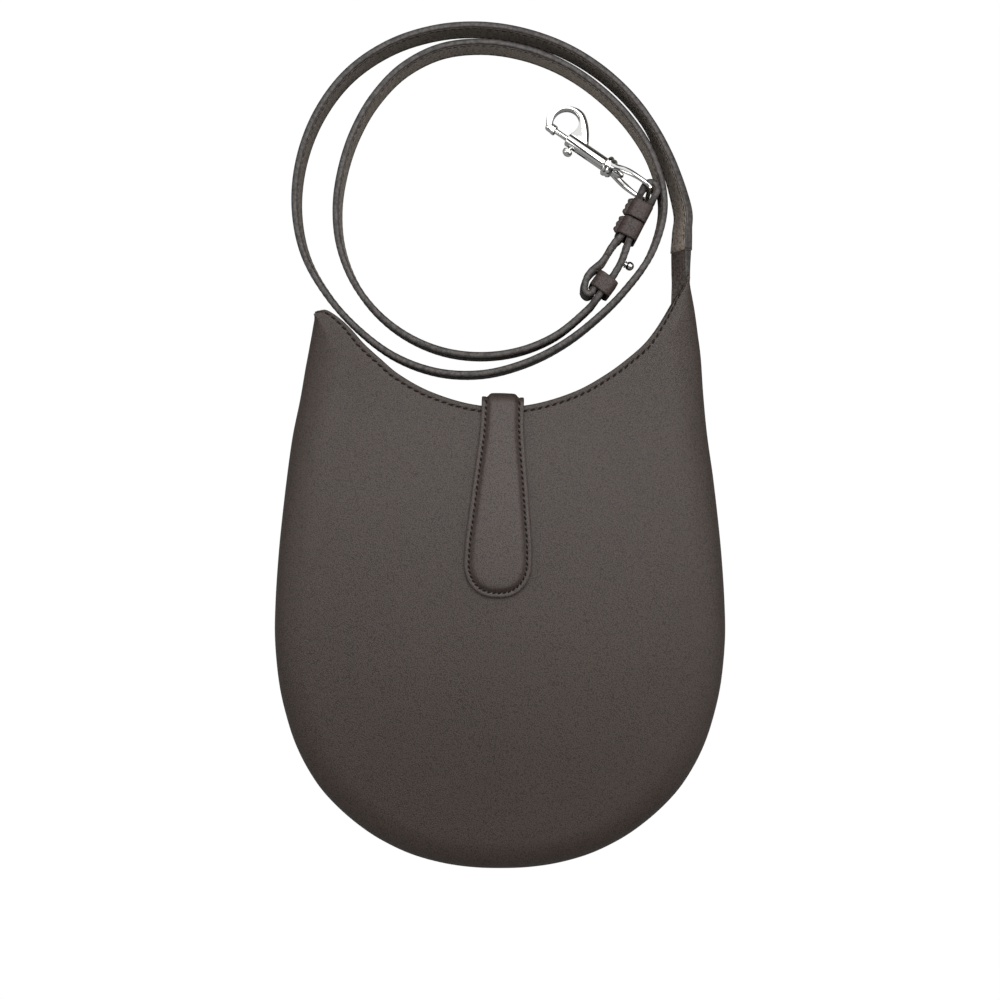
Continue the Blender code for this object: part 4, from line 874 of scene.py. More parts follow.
# Insets from the tab's edge and the rise of its face there
TAB_FACE = (
    (0.0000, -0.00035), (0.00012, -0.00012), (0.0004, 0.0), (0.0009, 0.00004), (0.0015, 0.0),
    (0.0019, -0.00014), (0.0021, -0.00020), (0.0023, -0.00012), (0.0026, 0.00015), (0.0030, 0.00055),
    (0.0034, 0.00100), (0.0038, 0.00132), (0.0043, 0.00150), (0.0050, 0.00158), (0.0062, 0.00164),
)
tab_stack = TAB_BACKING + GAP + TAB_PLY
root_floor = LEATHER + GAP + FACING_THICKNESS + GAP
bend_y = RIM.at(0.5).y + TAB_RIM_CLEARANCE - TAB_BEND_RADIUS
lower_bend_z = root_floor + tab_stack + TAB_BEND_RADIUS
upper_bend_z = depth_at(TAB_CENTRE_X, bend_y) + GAP - TAB_BEND_RADIUS
hinge_z = (lower_bend_z + upper_bend_z) / 2
tab_matrix = Matrix.Translation((TAB_CENTRE_X, bend_y, 0)) @ Matrix.Rotation(-TAB_SLANT, 4, "Z")
bend_run = (TAB_BEND_RADIUS + tab_stack / 2) * math.pi / 2
rise_run = upper_bend_z - hinge_z
plan_shift = TAB_BEND_RADIUS + tab_stack
flap_run = TAB_LENGTH - plan_shift
tab_run = rise_run + bend_run + flap_run
root_run = rise_run + bend_run + TAB_ROOT_LENGTH


def tab_point(across, run, height):
    """A point of the folded tab. Runs below nothing are its root, down the fold and along the back."""
    radius = TAB_BEND_RADIUS + height
    under = -run - (hinge_z - lower_bend_z)
    over = run - rise_run
    if under > bend_run:
        local = Vector((across, bend_run - under, lower_bend_z - radius))
    elif under > 0:
        turn = under / bend_run * math.pi / 2
        local = Vector((across, radius * math.cos(turn), lower_bend_z - radius * math.sin(turn)))
    elif over <= 0:
        local = Vector((across, radius, hinge_z + run))
    elif over <= bend_run:
        turn = over / bend_run * math.pi / 2
        local = Vector((across, radius * math.cos(turn), upper_bend_z + radius * math.sin(turn)))
    else:
        local = Vector((across, bend_run - over, 0))
        place = tab_matrix @ local
        local.z = depth_at(place.x, place.y) + GAP + height
    return tab_matrix @ local


TAB_WIDTHS = smooth_table(TAB_OUTLINE_SHARES, 8)


def tab_half_width(run):
    along = (run - rise_run - bend_run + plan_shift) / TAB_LENGTH
    return TAB_HALF_WIDTH * read_shares(TAB_WIDTHS, along)


def tab_side():
    """One side of the tab from its root's end to the middle of its tip, as places across and along."""
    marks = (-root_run, -TAB_FOLD_RUN, rise_run + bend_run + TAB_FOLD_PAST, tab_run - TAB_HALF_WIDTH)
    runs = [start + (stop - start) * step / count
            for start, stop, count in zip(marks, marks[1:], (10, 34, 50)) for step in range(count)]
    side = [(tab_half_width(run), run) for run in runs]
    for step in range(25):
        turn = step / 24 * math.pi / 2
        side.append((TAB_HALF_WIDTH * math.cos(turn) ** TAB_TIP_POWER,
                     marks[-1] + (tab_run - marks[-1]) * math.sin(turn)))
    return side


def tab_sheet(name, materials, height, thickness, face, edge_round):
    """A ply of the tab: rings set in from its outline, each with a rise, drawn in to its middle line."""
    side = tab_side()
    outline = [(-across, run) for across, run in side] + [(across, run) for across, run in side[-2::-1]]

    def point(index, t):
        ring = round(t * len(face))
        edge = Vector(outline[index])
        core = Vector((0, min(edge.y, tab_run - TAB_HALF_WIDTH)))
        inset, rise = face[min(ring, len(face) - 1)]
        place = edge + (core - edge).normalized() * inset
        if ring == len(face):
            place = core
            rise = rise + TAB_CENTRE_RISE if rise else 0
        if rise > 0:
            rise *= min(max(edge.y / rise_run, 0), 1)
        return tab_point(place.x, place.y, height + rise)

    work = grid(len(outline) - 1, len(face), point)
    bmesh.ops.remove_doubles(work, verts=work.verts, dist=WELD)
    return thicken(finished(name, work, materials), thickness, 1, edge_round)


tab_leather = leather("tab_leather", (0.054, 0.0385, 0.0325), 2100, 0.40, 0.00006, cloud=0.12, specular=0.34)
tab_paint = leather("tab_edge_paint", (0.048, 0.039, 0.035), 800, 0.38, 0.00001, cloud=0.05)
tab_top = tab_sheet("tab_outer_ply", [tab_leather, tab_paint], tab_stack, TAB_PLY + GAP / 2, TAB_FACE, 0.0)
tab_under = tab_sheet("tab_under_ply", [facing_leather, tab_paint], TAB_BACKING + GAP / 2,
                      TAB_BACKING + GAP / 2, ((0, 0), (0.0005, 0), (0.0035, 0)), 0.0002)

side = [(across, run) for across, run in tab_side() if run >= rise_run + bend_run / 2]
edge_line = Line([Vector((-across, run)) for across, run in side]
                 + [Vector((across, run)) for across, run in side[-2::-1]], 1)
places = []
for share in stitch_shares(edge_line, TAB_PITCH):
    heading = edge_line.heading(share, 0.001)
    spot = edge_line.at(share) + Vector((heading.y, -heading.x)) * TAB_SEAM
    step = 0.0005
    here = tab_point(spot.x, spot.y, tab_stack + TAB_STITCH_LEVEL)
    along = tab_point(*(spot + heading * step), tab_stack + TAB_STITCH_LEVEL) - here
    out = tab_point(spot.x, spot.y, tab_stack + step) - here
    places.append((here, along.normalized(), out.normalized()))
tab_seam = sew("tab_stitches", places, thread, TAB_STITCH, TAB_STITCH_WIDTH, TAB_STITCH_SLANT)
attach(tab_seam, "tab")
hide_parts("closure_flap", "closure_root")
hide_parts("closure_backing")
for ply in (tab_top, tab_under):
    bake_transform(ply)


# Inside the tab: a stiff board that makes its raised middle, with a magnet let into its tip.
# A steel disc behind the front leather catches the magnet.
BOARD_TONE = (0.30, 0.23, 0.17)

# Pressed fibre board: long pale and dark fibres in a dull ground
board, tree, shader = new_material("fibre_board")
stretch = add(tree, "Mapping", {"Vector": add(tree, "TexCoord").outputs["Object"], "Scale": (900, 140, 900)})
fibre = add(tree, "TexNoise", {"Vector": stretch, "Scale": 1.0, "Detail": 4.0})
feed(tree, shader, {"Base Color": two_tone(tree, fibre, BOARD_TONE, 0.7, 1.2, 0.35, 0.65), "Roughness": 0.85})


def metal_wear_group():
    """Handling marks on plated metal: fine scratches in two directions and faint smears."""
    group, given = new_group("metal_wear", {"Tone": (0.8, 0.8, 0.79, 1), "Polish": 0.08})
    place = add(group, "TexCoord").outputs["Object"]
    scratches = []
    for turn, scale in ((0.6, (160, 4200, 4200)), (-0.9, (140, 3600, 3600))):
        mapping = add(group, "Mapping", {"Vector": place, "Rotation": (0, 0, turn), "Scale": scale})
        scratches.append(add(group, "TexNoise", {"Vector": mapping, "Scale": 1.0, "Detail": 2.0}))
    both = add(group, "Math", {0: scratches[0], 1: scratches[1]}, operation="MULTIPLY")
    smear = add(group, "TexNoise", {"Vector": place, "Scale": 180.0})
    rough = add(group, "Math", {0: smear, 1: 0.10, 2: given["Polish"]}, operation="MULTIPLY_ADD")
    shade = add(group, "MapRange", {"Value": smear, "To Min": 0.94, "To Max": 1.04})
    toned = add(group, "VectorMath", {0: given["Tone"], "Scale": shade}, operation="SCALE")
    add(group, "NodeGroupOutput", {"Color": toned, "Roughness": rough, "Height": both})
    return group


METAL_WEAR = metal_wear_group()


def metal(name, tone, polish):
    """A bright metal with light handling marks."""
    return grouped(name, METAL_WEAR, {"Tone": (*tone, 1), "Polish": polish}, 0.15, 0.00001, {"Metallic": 1.0})


plated = metal("nickel_plate", (0.82, 0.82, 0.80), 0.03)
bare_steel = metal("bare_steel", (0.52, 0.52, 0.53), 0.22)
for node, material in (("closure_filler", board), ("closure_magnet", bare_steel),
                       ("magnet_plate", bare_steel)):
    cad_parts[node].data.materials.clear()
    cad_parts[node].data.materials.append(material)


# The strap's tongue: the end of the band, skived thin, twisted over and sewn between the
# facings in the right horn.
ROOT_ROUTE = (
    ((0.0808, 0.0960, 0.0050), 88, 0.62), ((0.0810, 0.1040, 0.0054), 80, 0.62),
    ((0.0813, 0.1110, 0.0058), 70, 0.66), ((0.0817, 0.1180, 0.0062), 58, 0.70),
    ((0.0820, 0.1250, 0.0065), 46, 0.78), ((0.0820, 0.1310, 0.0065), 38, 0.88),
    ((0.0822, 0.1388, 0.0063), 32, 1.00),
)
ROOT_RINGS = 70
ROOT_FILL = 1.25
ROOT_NARROWING = 0.12
root_line = Line([place for place, lean, width in ROOT_ROUTE])


def root_value(share, column):
    place = share * (len(ROOT_ROUTE) - 1)
    low = min(int(place), len(ROOT_ROUTE) - 2)
    one, two = ROOT_ROUTE[low][column], ROOT_ROUTE[low + 1][column]
    return one + (two - one) * (place - low)


def root_lean(share):
    return math.radians(root_value(share, 1))


root_stations = band_stations(
    root_line, ROOT_RINGS, root_lean,
    lambda share: STRAP_THICKNESS / 2 * root_value(share, 2) * ROOT_FILL,
    lambda share: STRAP_WIDTH / 2 * root_value(share, 2) * (1 - ROOT_NARROWING * share))
tongue_leather = leather("tongue_leather", (0.066, 0.050, 0.043), 1100, 0.46, 0.00012, cloud=0.25)
tongue = sweep_band("strap_tongue", root_stations, BAND_RING, [tongue_leather, strap_paint])
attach(tongue, "bag")
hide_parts("strap_root")


# The strap's end: it turns round the bar of the swivel eye, is sewn back against itself under
# two keepers, and its tail turns again into the sliding keeper.
TURN_RADIUS = 0.0031
TURN_CENTRE = -0.0009
LANE_POINTS = ((0.0160, 0.0020), (0.0110, 0.0020), (0.0058, 0.0021), (0.0044, 0.0025), (0.0028, 0.0030),
               (0.0010, 0.0031))
LEFT_BAND_ROUTE = ((0.0522, 0.1428), (0.0495, 0.1390), (0.0479, 0.1362))
TAIL_ROUTE = (
    (0.0477, 0.1359), (0.0464, 0.1339), (0.0449, 0.1323), (0.0433, 0.1310), (0.0410, 0.1290),
    (0.0390, 0.1262), (0.0381, 0.1230), (0.0381, 0.1203), (0.0396, 0.1188), (0.0412, 0.1196),
    (0.0420, 0.1210), (0.0436, 0.1230), (0.0452, 0.1251), (0.0462, 0.1265),
)
KEEPER_PLY = 0.0012
KEEPER_LENGTH = 0.0084
KEEPER_UPPER_AT = 0.0094
KEEPER_LOWER_AT = 0.0183
SLIDE_LENGTH = 0.0078
KEEPER_CORNER = 0.0018
SLIDE_PLACE = (0.0466, 0.1234)
SLIDE_HEADING = math.radians(233.4)
SLIDE_HALF_OPENING = 0.0040
TURNED_HALF_WIDTH = 0.0056
STITCHES_FROM_BAR = 0.0060
END_SEAM = (0.03, 0.97)


def arc_points(centre, radius, count, first, last):
    turns = [first + (last - first) * index / (count - 1) for index in range(count)]
    return [(centre[0] + radius * math.cos(turn), centre[1] + radius * math.sin(turn)) for turn in turns]


level_at = KEEPER_UPPER_AT - KEEPER_LENGTH / 2 - GAP
lanes = [Vector((STRAP_STOP - 2 * GAP, LANE_OFFSET, end_drop))]
lanes += [Vector((along, aside, end_drop * min(along / level_at, 1))) for along, aside in LANE_POINTS]
turn_points = [Vector((x, y, 0))
               for x, y in arc_points((TURN_CENTRE, 0), TURN_RADIUS, 9, math.pi / 2, 1.5 * math.pi)]
left = [Vector((point.x, -point.y, point.z)) for point in lanes[:0:-1]]
left += [Vector((STRAP_STOP, -LANE_OFFSET, end_drop)), Vector((LANE_END, -LANE_OFFSET, end_drop))]
end_points = [end_matrix @ point for point in lanes + turn_points + left]
end_points += [Vector((x, y, LANE_HEIGHT)) for x, y in LEFT_BAND_ROUTE]
end_line = Line(end_points, 8)
tail_line = Line([Vector((x, y, LANE_HEIGHT)) for x, y in TAIL_ROUTE], 8)
ends = []
for name, node, line, count, half_width in (
        ("strap_turned_end", "strap_end_loop", end_line, 130, TURNED_HALF_WIDTH),
        ("strap_tail_end", "strap_tail", tail_line, 90, STRAP_WIDTH / 2)):
    stations = band_stations(line, count, lambda share: 0, lambda share: STRAP_THICKNESS / 2,
                             lambda share: half_width)
    made = sweep_band(name, stations, BAND_RING, STRAP_MATERIALS)
    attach(made, "bag")
    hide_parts(node)
    places = band_stitches(line, lambda share: 0, lambda share: STRAP_THICKNESS / 2, half_width, *END_SEAM)
    places = [place for place in places if (place[0] - end_matrix.translation).xy.length > STITCHES_FROM_BAR]
    seam = sew(name + "_stitches", places, thread, STITCH_PITCH * STITCH_SHARE)
    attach(seam, "bag")
    ends += [made, seam]

# Wall of a keeper: shares of half its ply and half its length
KEEPER_QUARTER = (
    (1.00, 0.00), (0.98, 0.40), (0.96, 0.72), (0.93, 0.86), (0.80, 0.94), (0.55, 0.985), (0.25, 1.00),
    (0.00, 1.00),
)
KEEPER_RING = section_ring(KEEPER_QUARTER, 0.985)
KEEPER_STEPS = 96
FLANGE_REACH = 0.0021
FLANGE_HEIGHT = 0.0024
FLANGE_LIFT = 0.22 * STRAP_WIDTH
FLANGE_LUMPS = 3
FLANGE_LUMP = 0.0003
FLANGE_END_FROM = 0.75
FLANGE_LENGTH_SHARE = 0.96
FLANGE_ROOT_SHARE = 0.6
FLANGE_END_SHARE = 0.35
FLANGE_SLIM_SHARE = 0.45
keeper_leather = leather("keeper_leather", (0.046, 0.030, 0.026), 1400, 0.46, 0.00005, cloud=0.2)


def keeper(name, node, matrix, half_opening, length=KEEPER_LENGTH):
    """A band of leather round the strap, with its ends butted. The frame's X axis runs along the strap."""
    half_height = STRAP_WIDTH / 2 + GAP
    x, z = half_opening + KEEPER_PLY / 2, half_height + KEEPER_PLY / 2
    corner = KEEPER_CORNER + KEEPER_PLY / 2
    path = []
    for quarter, (sx, sz) in enumerate(((1, 1), (-1, 1), (-1, -1), (1, -1))):
        start = quarter * math.pi / 2
        path += arc_points((sx * (x - corner), sz * (z - corner)), corner, 7, start, start + math.pi / 2)
    loop = Line([Vector(point) for point in path + path[:1]], 3)
    turn = matrix.to_3x3()
    stations = []
    for index in range(KEEPER_STEPS + 1):
        share = index / KEEPER_STEPS % 1
        heading = (loop.at(share + 0.004) - loop.at(max(share - 0.004, 0))).normalized()
        stations.append((matrix @ Vector((0, *loop.at(share))), turn @ Vector((0, heading.y, -heading.x)),
                         turn @ Vector((1, 0, 0)), KEEPER_PLY / 2, length / 2))
    made = sweep_band(name, stations, KEEPER_RING, [keeper_leather, strap_paint])
    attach(made, "bag")
    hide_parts(node)
    return made


lane_matrix = end_matrix @ Matrix.Translation((0, 0, end_drop))
lane_half_opening = LANE_OFFSET + STRAP_THICKNESS / 2 + GAP
slide_matrix = Matrix.Translation((*SLIDE_PLACE, LANE_HEIGHT)) @ Matrix.Rotation(SLIDE_HEADING, 4, "Z")
upper_matrix = lane_matrix @ Matrix.Translation((KEEPER_UPPER_AT, 0, 0))
lower_matrix = lane_matrix @ Matrix.Translation((KEEPER_LOWER_AT, 0, 0))
ends += [keeper("keeper_by_eye", "keeper_upper", upper_matrix, lane_half_opening),
         keeper("keeper_below", "keeper_lower", lower_matrix, lane_half_opening),
         keeper("keeper_sliding", "keeper_slide", slide_matrix, SLIDE_HALF_OPENING, SLIDE_LENGTH)]

# The two keepers by the eye are each closed by a sewn seam that stands out at the side and is
# drawn in at its stitches
for name, matrix in (("keeper_seam_by_eye", upper_matrix), ("keeper_seam_below", lower_matrix)):
    work = bmesh.new()
    bmesh.ops.create_cube(work, size=1.0)
    bmesh.ops.subdivide_edges(work, edges=work.edges, cuts=15, use_grid_fill=True)
    wall = -lane_half_opening - KEEPER_PLY * FLANGE_ROOT_SHARE
    for vert in work.verts:
        run, out, up = vert.co.x, 0.5 - vert.co.y, vert.co.z
        drawn = FLANGE_LUMP * math.cos(2 * math.pi * FLANGE_LUMPS * run)
        round_end = 1 - FLANGE_END_SHARE * max(2 * abs(run) - FLANGE_END_FROM, 0) / (1 - FLANGE_END_FROM)
        slim = 1 - FLANGE_SLIM_SHARE * out ** 3
        vert.co = (run * KEEPER_LENGTH * FLANGE_LENGTH_SHARE,
                   wall - out * (FLANGE_REACH * round_end + drawn),
                   FLANGE_LIFT + up * (FLANGE_HEIGHT * slim + drawn))
    bmesh.ops.smooth_vert(work, verts=work.verts, factor=0.5, use_axis_x=True, use_axis_y=True,
                          use_axis_z=True)
    bmesh.ops.transform(work, verts=work.verts, matrix=matrix)
    bmesh.ops.recalc_face_normals(work, faces=work.faces)
    seam = finished(name, work, [keeper_leather])
    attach(seam, "bag")
    ends.append(seam)


# The ball stud: a ball on a neck, turned and plated. Its shank passes through the strap and
# screws into a disc behind it.
STUD_PLACE = (0.0547, 0.1337, 0.0078)
STUD_HEADING = math.radians(-21.2)
STUD_BALL = 0.0020
STUD_BALL_CENTRE = 0.0042
STUD_NECK = 0.0010
STUD_FLANGE = 0.0016
STUD_FLANGE_THICKNESS = 0.0006
STUD_SHANK = 0.0009
STUD_FILLET = 0.0002
STUD_CHAMFER = 0.0001
STUD_BASE = 0.0028
STUD_BASE_THICKNESS = 0.0008
TURN_SIDES = 64


def softened(profile, radius):
    """The profile with each of its corners rounded, apart from its two ends."""
    points = [Vector(point) for point in profile]
    result = [points[0]]
    for before, corner, after in zip(points, points[1:], points[2:]):
        reach = min(radius, (corner - before).length * 0.45, (after - corner).length * 0.45)
        start = corner + (before - corner).normalized() * reach
        stop = corner + (after - corner).normalized() * reach
        result += [start.lerp(corner, t).lerp(corner.lerp(stop, t), t) for t in (0, 0.25, 0.5, 0.75, 1)]
    return result + [points[-1]]


def turned(profile, matrix):
    """A bmesh turned about the X axis of a frame. The profile runs along the axis: place and radius."""
    work = bmesh.new()
    verts = [work.verts.new((along, radius, 0)) for along, radius in profile]
    for one, two in zip(verts, verts[1:]):
        work.edges.new((one, two))
    bmesh.ops.spin(work, geom=work.verts[:] + work.edges[:], cent=(0, 0, 0), axis=(1, 0, 0),
                   angle=2 * math.pi, steps=TURN_SIDES, use_merge=True)
    return closed(work, matrix)


def turned_piece(name, profile, soft, matrix):
    """A plated piece, turned, with soft corners."""
    return finished(name, turned(softened(profile, soft), matrix), [plated], sharp=40)


def rod(start, stop, radius):
    """The profile of a plain rod, from its far end."""
    return [(stop, 0), (stop, radius), (start, radius), (start, 0)]


stud_matrix = Matrix.Translation(STUD_PLACE) @ Matrix.Rotation(STUD_HEADING, 4, "Z")
face = STRAP_THICKNESS / 2
ball = [(STUD_BALL_CENTRE + STUD_BALL * math.cos(turn), STUD_BALL * math.sin(turn))
        for turn in [math.pi * step / 28 for step in range(29)]]
ball = [point for point in ball if point[0] > STUD_BALL_CENTRE or point[1] > STUD_NECK]
flange_from = face + GAP
flange_to = flange_from + STUD_FLANGE_THICKNESS
base_top = GAP + STUD_BASE_THICKNESS - face
stud = finished("ball_stud", turned(ball + softened(
    [(flange_to + STUD_FILLET, STUD_NECK), (flange_to, STUD_FLANGE - STUD_CHAMFER),
     (flange_from, STUD_FLANGE), (flange_from, STUD_SHANK), (base_top + GAP, STUD_SHANK),
     (base_top + GAP, 0)], STUD_CHAMFER), stud_matrix),
    [plated], sharp=40)
screw_base = turned_piece("stud_screw_base", rod(GAP - face, base_top, STUD_BASE), 0.0002, stud_matrix)
for piece, node in ((stud, "stud_head"), (screw_base, "stud_base")):
    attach(piece, "bag")
    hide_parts(node)
    ends.append(piece)


# The snap hook: cast and plated. A wire eye with a collar holds the strap, and a rivet lets
# the barrel turn in it. A sprung bolt, drawn by its knob, closes the hook.
SNAP_HEADING = math.radians(143.4)
SNAP_SLOPE = math.radians(7.2)
EYE_LEAN = math.radians(7)
SPREAD_FROM = 0.006
EYE_WIRE = 0.0011
EYE_HALF_OPENING = 0.0069
EYE_LOWER_SHARE = 0.91
EYE_WIRE_IN_SHARE = 0.92
EYE_SPREAD = 0.38
COLLAR_FROM = 0.0196
COLLAR_TO = 0.0239
COLLAR_RADIUS = 0.0047

# The collar's two ends: distance from the end, and how far the surface lies under its full radius
COLLAR_FRONT = ((0.0, 0.0007), (0.0006, 0.0), (0.0017, 0.0001), (0.0022, 0.0006))
COLLAR_BACK = ((0.0012, 0.0003), (0.0, 0.0009))
COLLAR_SOFT = 0.0004

RIVET_NECK = 0.0013
RIVET_HEAD = 0.0023
RIVET_HEAD_FROM = 0.0138
RIVET_SEAT = 0.0018
BARREL_TO = 0.0450
BARREL_RADIUS = 0.0030
BOLT_RADIUS = 0.0012
BOLT_FROM = 0.0385
BOLT_TO = 0.0545
BORE_FROM = 0.0274
SLOT_FROM = 0.0325
SLOT_TO = 0.0428
SLOT_HALF_WIDTH = 0.0010
KNOB_AT = 0.0416
KNOB_STEM = 0.0007
KNOB_RADIUS = 0.0023
KNOB_FROM = 0.0040
KNOB_TO = 0.0069
HOOK_HOLE = 0.0060
HOOK_CENTRE = (0.0502, -0.0055)
HOOK_FOOT_ALONG = 0.0350
HOOK_LENGTH = 0.0242
HOOK_HEIGHT = 0.0141
HOOK_SHARES = (
    (0.680, -0.160), (0.784, -0.145), (0.904, -0.030), (0.984, 0.171), (1.000, 0.355), (0.968, 0.579),
    (0.888, 0.763), (0.772, 0.901), (0.664, 0.974), (0.560, 1.000), (0.448, 0.967), (0.344, 0.862),
    (0.248, 0.724), (0.152, 0.539), (0.072, 0.342), (0.000, 0.150),
)
HOOK_SIDES = 112
CAST_SHARP = 38
HOOK_SLOPE_WIDE = 0.0014
HOOK_SLOPE_NARROW = 0.0005
HOOK_NARROW_FROM = 0.056
HOOK_NARROW_SPAN = 0.008

# Section of the hook's plate: which edge, distance from it, share of the sloped edge, and level
HOOK_HALF_SECTION = (
    ("hole", 0, 0, 0.0014), ("hole", 0.00010, 0, 0.0018), ("hole", 0.00040, 0, 0.0020),
    ("edge", 0.0001, 1, 0.0020), ("edge", 0, 1, 0.00198), ("edge", 0.00018, 0, 0.0009),
    ("edge", 0, 0, 0.0006),
)
HOOK_SECTION = HOOK_HALF_SECTION + tuple((*point[:3], -point[3]) for point in HOOK_HALF_SECTION[::-1])
GATE_ASIDE = 0.0030
NOSE_FROM = 0.0520
NOSE_TO = 0.0568
NOSE_RADIUS = 0.0021
NOSE_TAPER = 0.0010
NOSE_TAPER_DROP = 0.0004
NOSE_SOCKET_TO = 0.0550

# The nose's socket is this much wider than the bore, so that its edge stays clear of the edge of
# the nose's flat end, where the cut would fail in some runs
SOCKET_EASE = 0.00002
EYE_BOW_SHARES = (
    (1.06, 0.42), (0.96, 0.50), (0.88, 0.61), (0.76, 0.78), (0.62, 0.92), (0.46, 1.02), (0.30, 1.05),
    (0.17, 1.04), (0.08, 0.99), (0.02, 0.89), (0.00, 0.78),
)
snap_matrix = (Matrix.Translation(END_PLACE) @ Matrix.Rotation(SNAP_HEADING, 4, "Z")
               @ Matrix.Rotation(SNAP_SLOPE, 4, "Y"))
eye_matrix = snap_matrix @ Matrix.Rotation(EYE_LEAN, 4, "X")


def wire(points, half_in, half_out, matrix, sides=20, spread=0.0):
    """A closed oval tube along points of the XZ plane, as a bmesh. It can spread away from the bar."""
    normal = Vector((0, 1, 0))

    def point(at, t):
        turn = 2 * math.pi * t
        along = (points[min(at + 1, len(points) - 1)] - points[max(at - 1, 0)]).normalized()
        flat = half_out * (1 + spread * min(max((points[at].x - SPREAD_FROM) / SPREAD_FROM, 0), 1))
        return (points[at] + normal.cross(along).normalized() * half_in * math.cos(turn)
                + normal * flat * math.sin(turn))

    return closed(grid(len(points) - 1, sides, point), matrix)


def combined(name, base, steps, material):
    """The base with other bmeshes added to it or cut from it, in order."""
    made = finished(name, base, [material])
    others = []
    for operation, other in steps:
        cutter = finished(name + "_tool", other, [material])
        step = made.modifiers.new(operation, "BOOLEAN")
        step.operation = operation
        step.solver = "EXACT"
        step.object = cutter
        others.append(cutter)
    apply_modifiers(made)
    for cutter in others:
        bpy.data.objects.remove(cutter, do_unlink=True)
    made.data.shade_smooth()
    made.data.set_sharp_from_angle(angle=math.radians(CAST_SHARP))
    return made


def block(low, high, matrix):
    work = bmesh.new()
    bmesh.ops.create_cube(work, size=1.0)
    for vert in work.verts:
        vert.co = [one + (two - one) * (at + 0.5) for one, two, at in zip(low, high, vert.co)]
    bmesh.ops.transform(work, verts=work.verts, matrix=matrix)
    return work


bow_height = EYE_HALF_OPENING + EYE_WIRE
bow = [(along * COLLAR_FROM, 0, height * bow_height) for along, height in EYE_BOW_SHARES]
bow += [(x, y, -z * EYE_LOWER_SHARE) for x, y, z in bow[::-1]]
bow_points = smooth_points(bow, 8)
REACH = 0.002
collar_profile = [(COLLAR_TO - along, COLLAR_RADIUS - under) for along, under in COLLAR_FRONT]
collar_profile += [(COLLAR_FROM + along, COLLAR_RADIUS - under) for along, under in COLLAR_BACK]
collar_profile = softened([(COLLAR_TO, 0)] + collar_profile + [(COLLAR_FROM, 0)], COLLAR_SOFT)
neck_clearance, head_clearance = RIVET_NECK + GAP, RIVET_HEAD + GAP
rivet_room = rod(COLLAR_FROM, COLLAR_TO + REACH, neck_clearance)[:3]
rivet_room += rod(RIVET_HEAD_FROM, COLLAR_FROM, head_clearance)[1:]
eye = combined("swivel_eye_wire",
               wire(bow_points, EYE_WIRE * EYE_WIRE_IN_SHARE, EYE_WIRE, Matrix(), spread=EYE_SPREAD),
               [("UNION", turned(collar_profile, Matrix())), ("DIFFERENCE", turned(rivet_room, Matrix()))],
               plated)
eye.data.transform(eye_matrix)
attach(eye, "eye")
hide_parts("swivel_eye")

seat_to = COLLAR_TO + GAP + RIVET_SEAT
head_to = COLLAR_FROM - GAP
bell = [(RIVET_HEAD_FROM + (head_to - RIVET_HEAD_FROM) * along, RIVET_HEAD * radius)
        for along, radius in ((1.00, 1.00), (0.67, 1.00), (0.36, 0.84), (0.12, 0.52), (0.00, 0.00))]
rivet = turned_piece("swivel_rivet_bell", [(seat_to, 0), (seat_to, RIVET_NECK), (head_to, RIVET_NECK)] + bell,
                     0.0005, snap_matrix)
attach(rivet, "snap")
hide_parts("swivel_rivet")


def hook_plate(matrix):
    """The teardrop plate of the hook: a ring between its outline and its round hole, with rounded edges."""
    outline = [Vector((HOOK_FOOT_ALONG + along * HOOK_LENGTH, -aside * HOOK_HEIGHT))
               for along, aside in HOOK_SHARES]
    edge = Line(outline, 8)
    loop = [edge.at(index / 400) for index in range(401)]
    loop += [outline[-1].lerp(outline[0], index / 60) for index in range(1, 60)]
    centre = Vector(HOOK_CENTRE)
    sections = []
    for index in range(HOOK_SIDES):
        turn = 2 * math.pi * index / HOOK_SIDES
        ray = Vector((math.cos(turn), math.sin(turn)))
        outer = max(loop, key=lambda point: (point - centre).normalized().dot(ray))
        inner = centre + ray * HOOK_HOLE
        wide = min(max((HOOK_NARROW_FROM - outer.x) / HOOK_NARROW_SPAN, 0), 1)
        slope = HOOK_SLOPE_NARROW + (HOOK_SLOPE_WIDE - HOOK_SLOPE_NARROW) * wide
        sections.append((inner, outer, min(slope, (outer - inner).length * 0.5)))

    def point(index, t):
        inner, outer, slope = sections[index % HOOK_SIDES]
        side, inset, share, level = HOOK_SECTION[round(t * len(HOOK_SECTION)) % len(HOOK_SECTION)]
        across = (inner - outer).normalized()
        spot = inner - across * inset if side == "hole" else outer + across * (inset + slope * share)
        return (*spot, level)

    return closed(grid(HOOK_SIDES, len(HOOK_SECTION), point), matrix)


bore = BOLT_RADIUS + GAP
barrel_from = COLLAR_TO + GAP
barrel = softened(rod(barrel_from, BARREL_TO, BARREL_RADIUS), 0.0005)
nose = softened([(NOSE_TO, 0), (NOSE_TO, NOSE_RADIUS - NOSE_TAPER_DROP), (NOSE_TO - NOSE_TAPER, NOSE_RADIUS),
                 (NOSE_FROM, NOSE_RADIUS), (NOSE_FROM, 0)], 0.0006)
hook_cuts = [
    block((BARREL_TO, -GATE_ASIDE, -BARREL_RADIUS - REACH),
          (NOSE_FROM, BARREL_RADIUS + REACH, BARREL_RADIUS + REACH), snap_matrix),
    turned(rod(BORE_FROM, BARREL_TO + REACH, bore), snap_matrix),
    turned(rod(NOSE_FROM - REACH, NOSE_SOCKET_TO, bore + SOCKET_EASE), snap_matrix),
    turned(rod(barrel_from - REACH, seat_to + GAP, neck_clearance), snap_matrix),
    block((SLOT_FROM, 0, -SLOT_HALF_WIDTH), (SLOT_TO, BARREL_RADIUS + REACH, SLOT_HALF_WIDTH), snap_matrix),
]
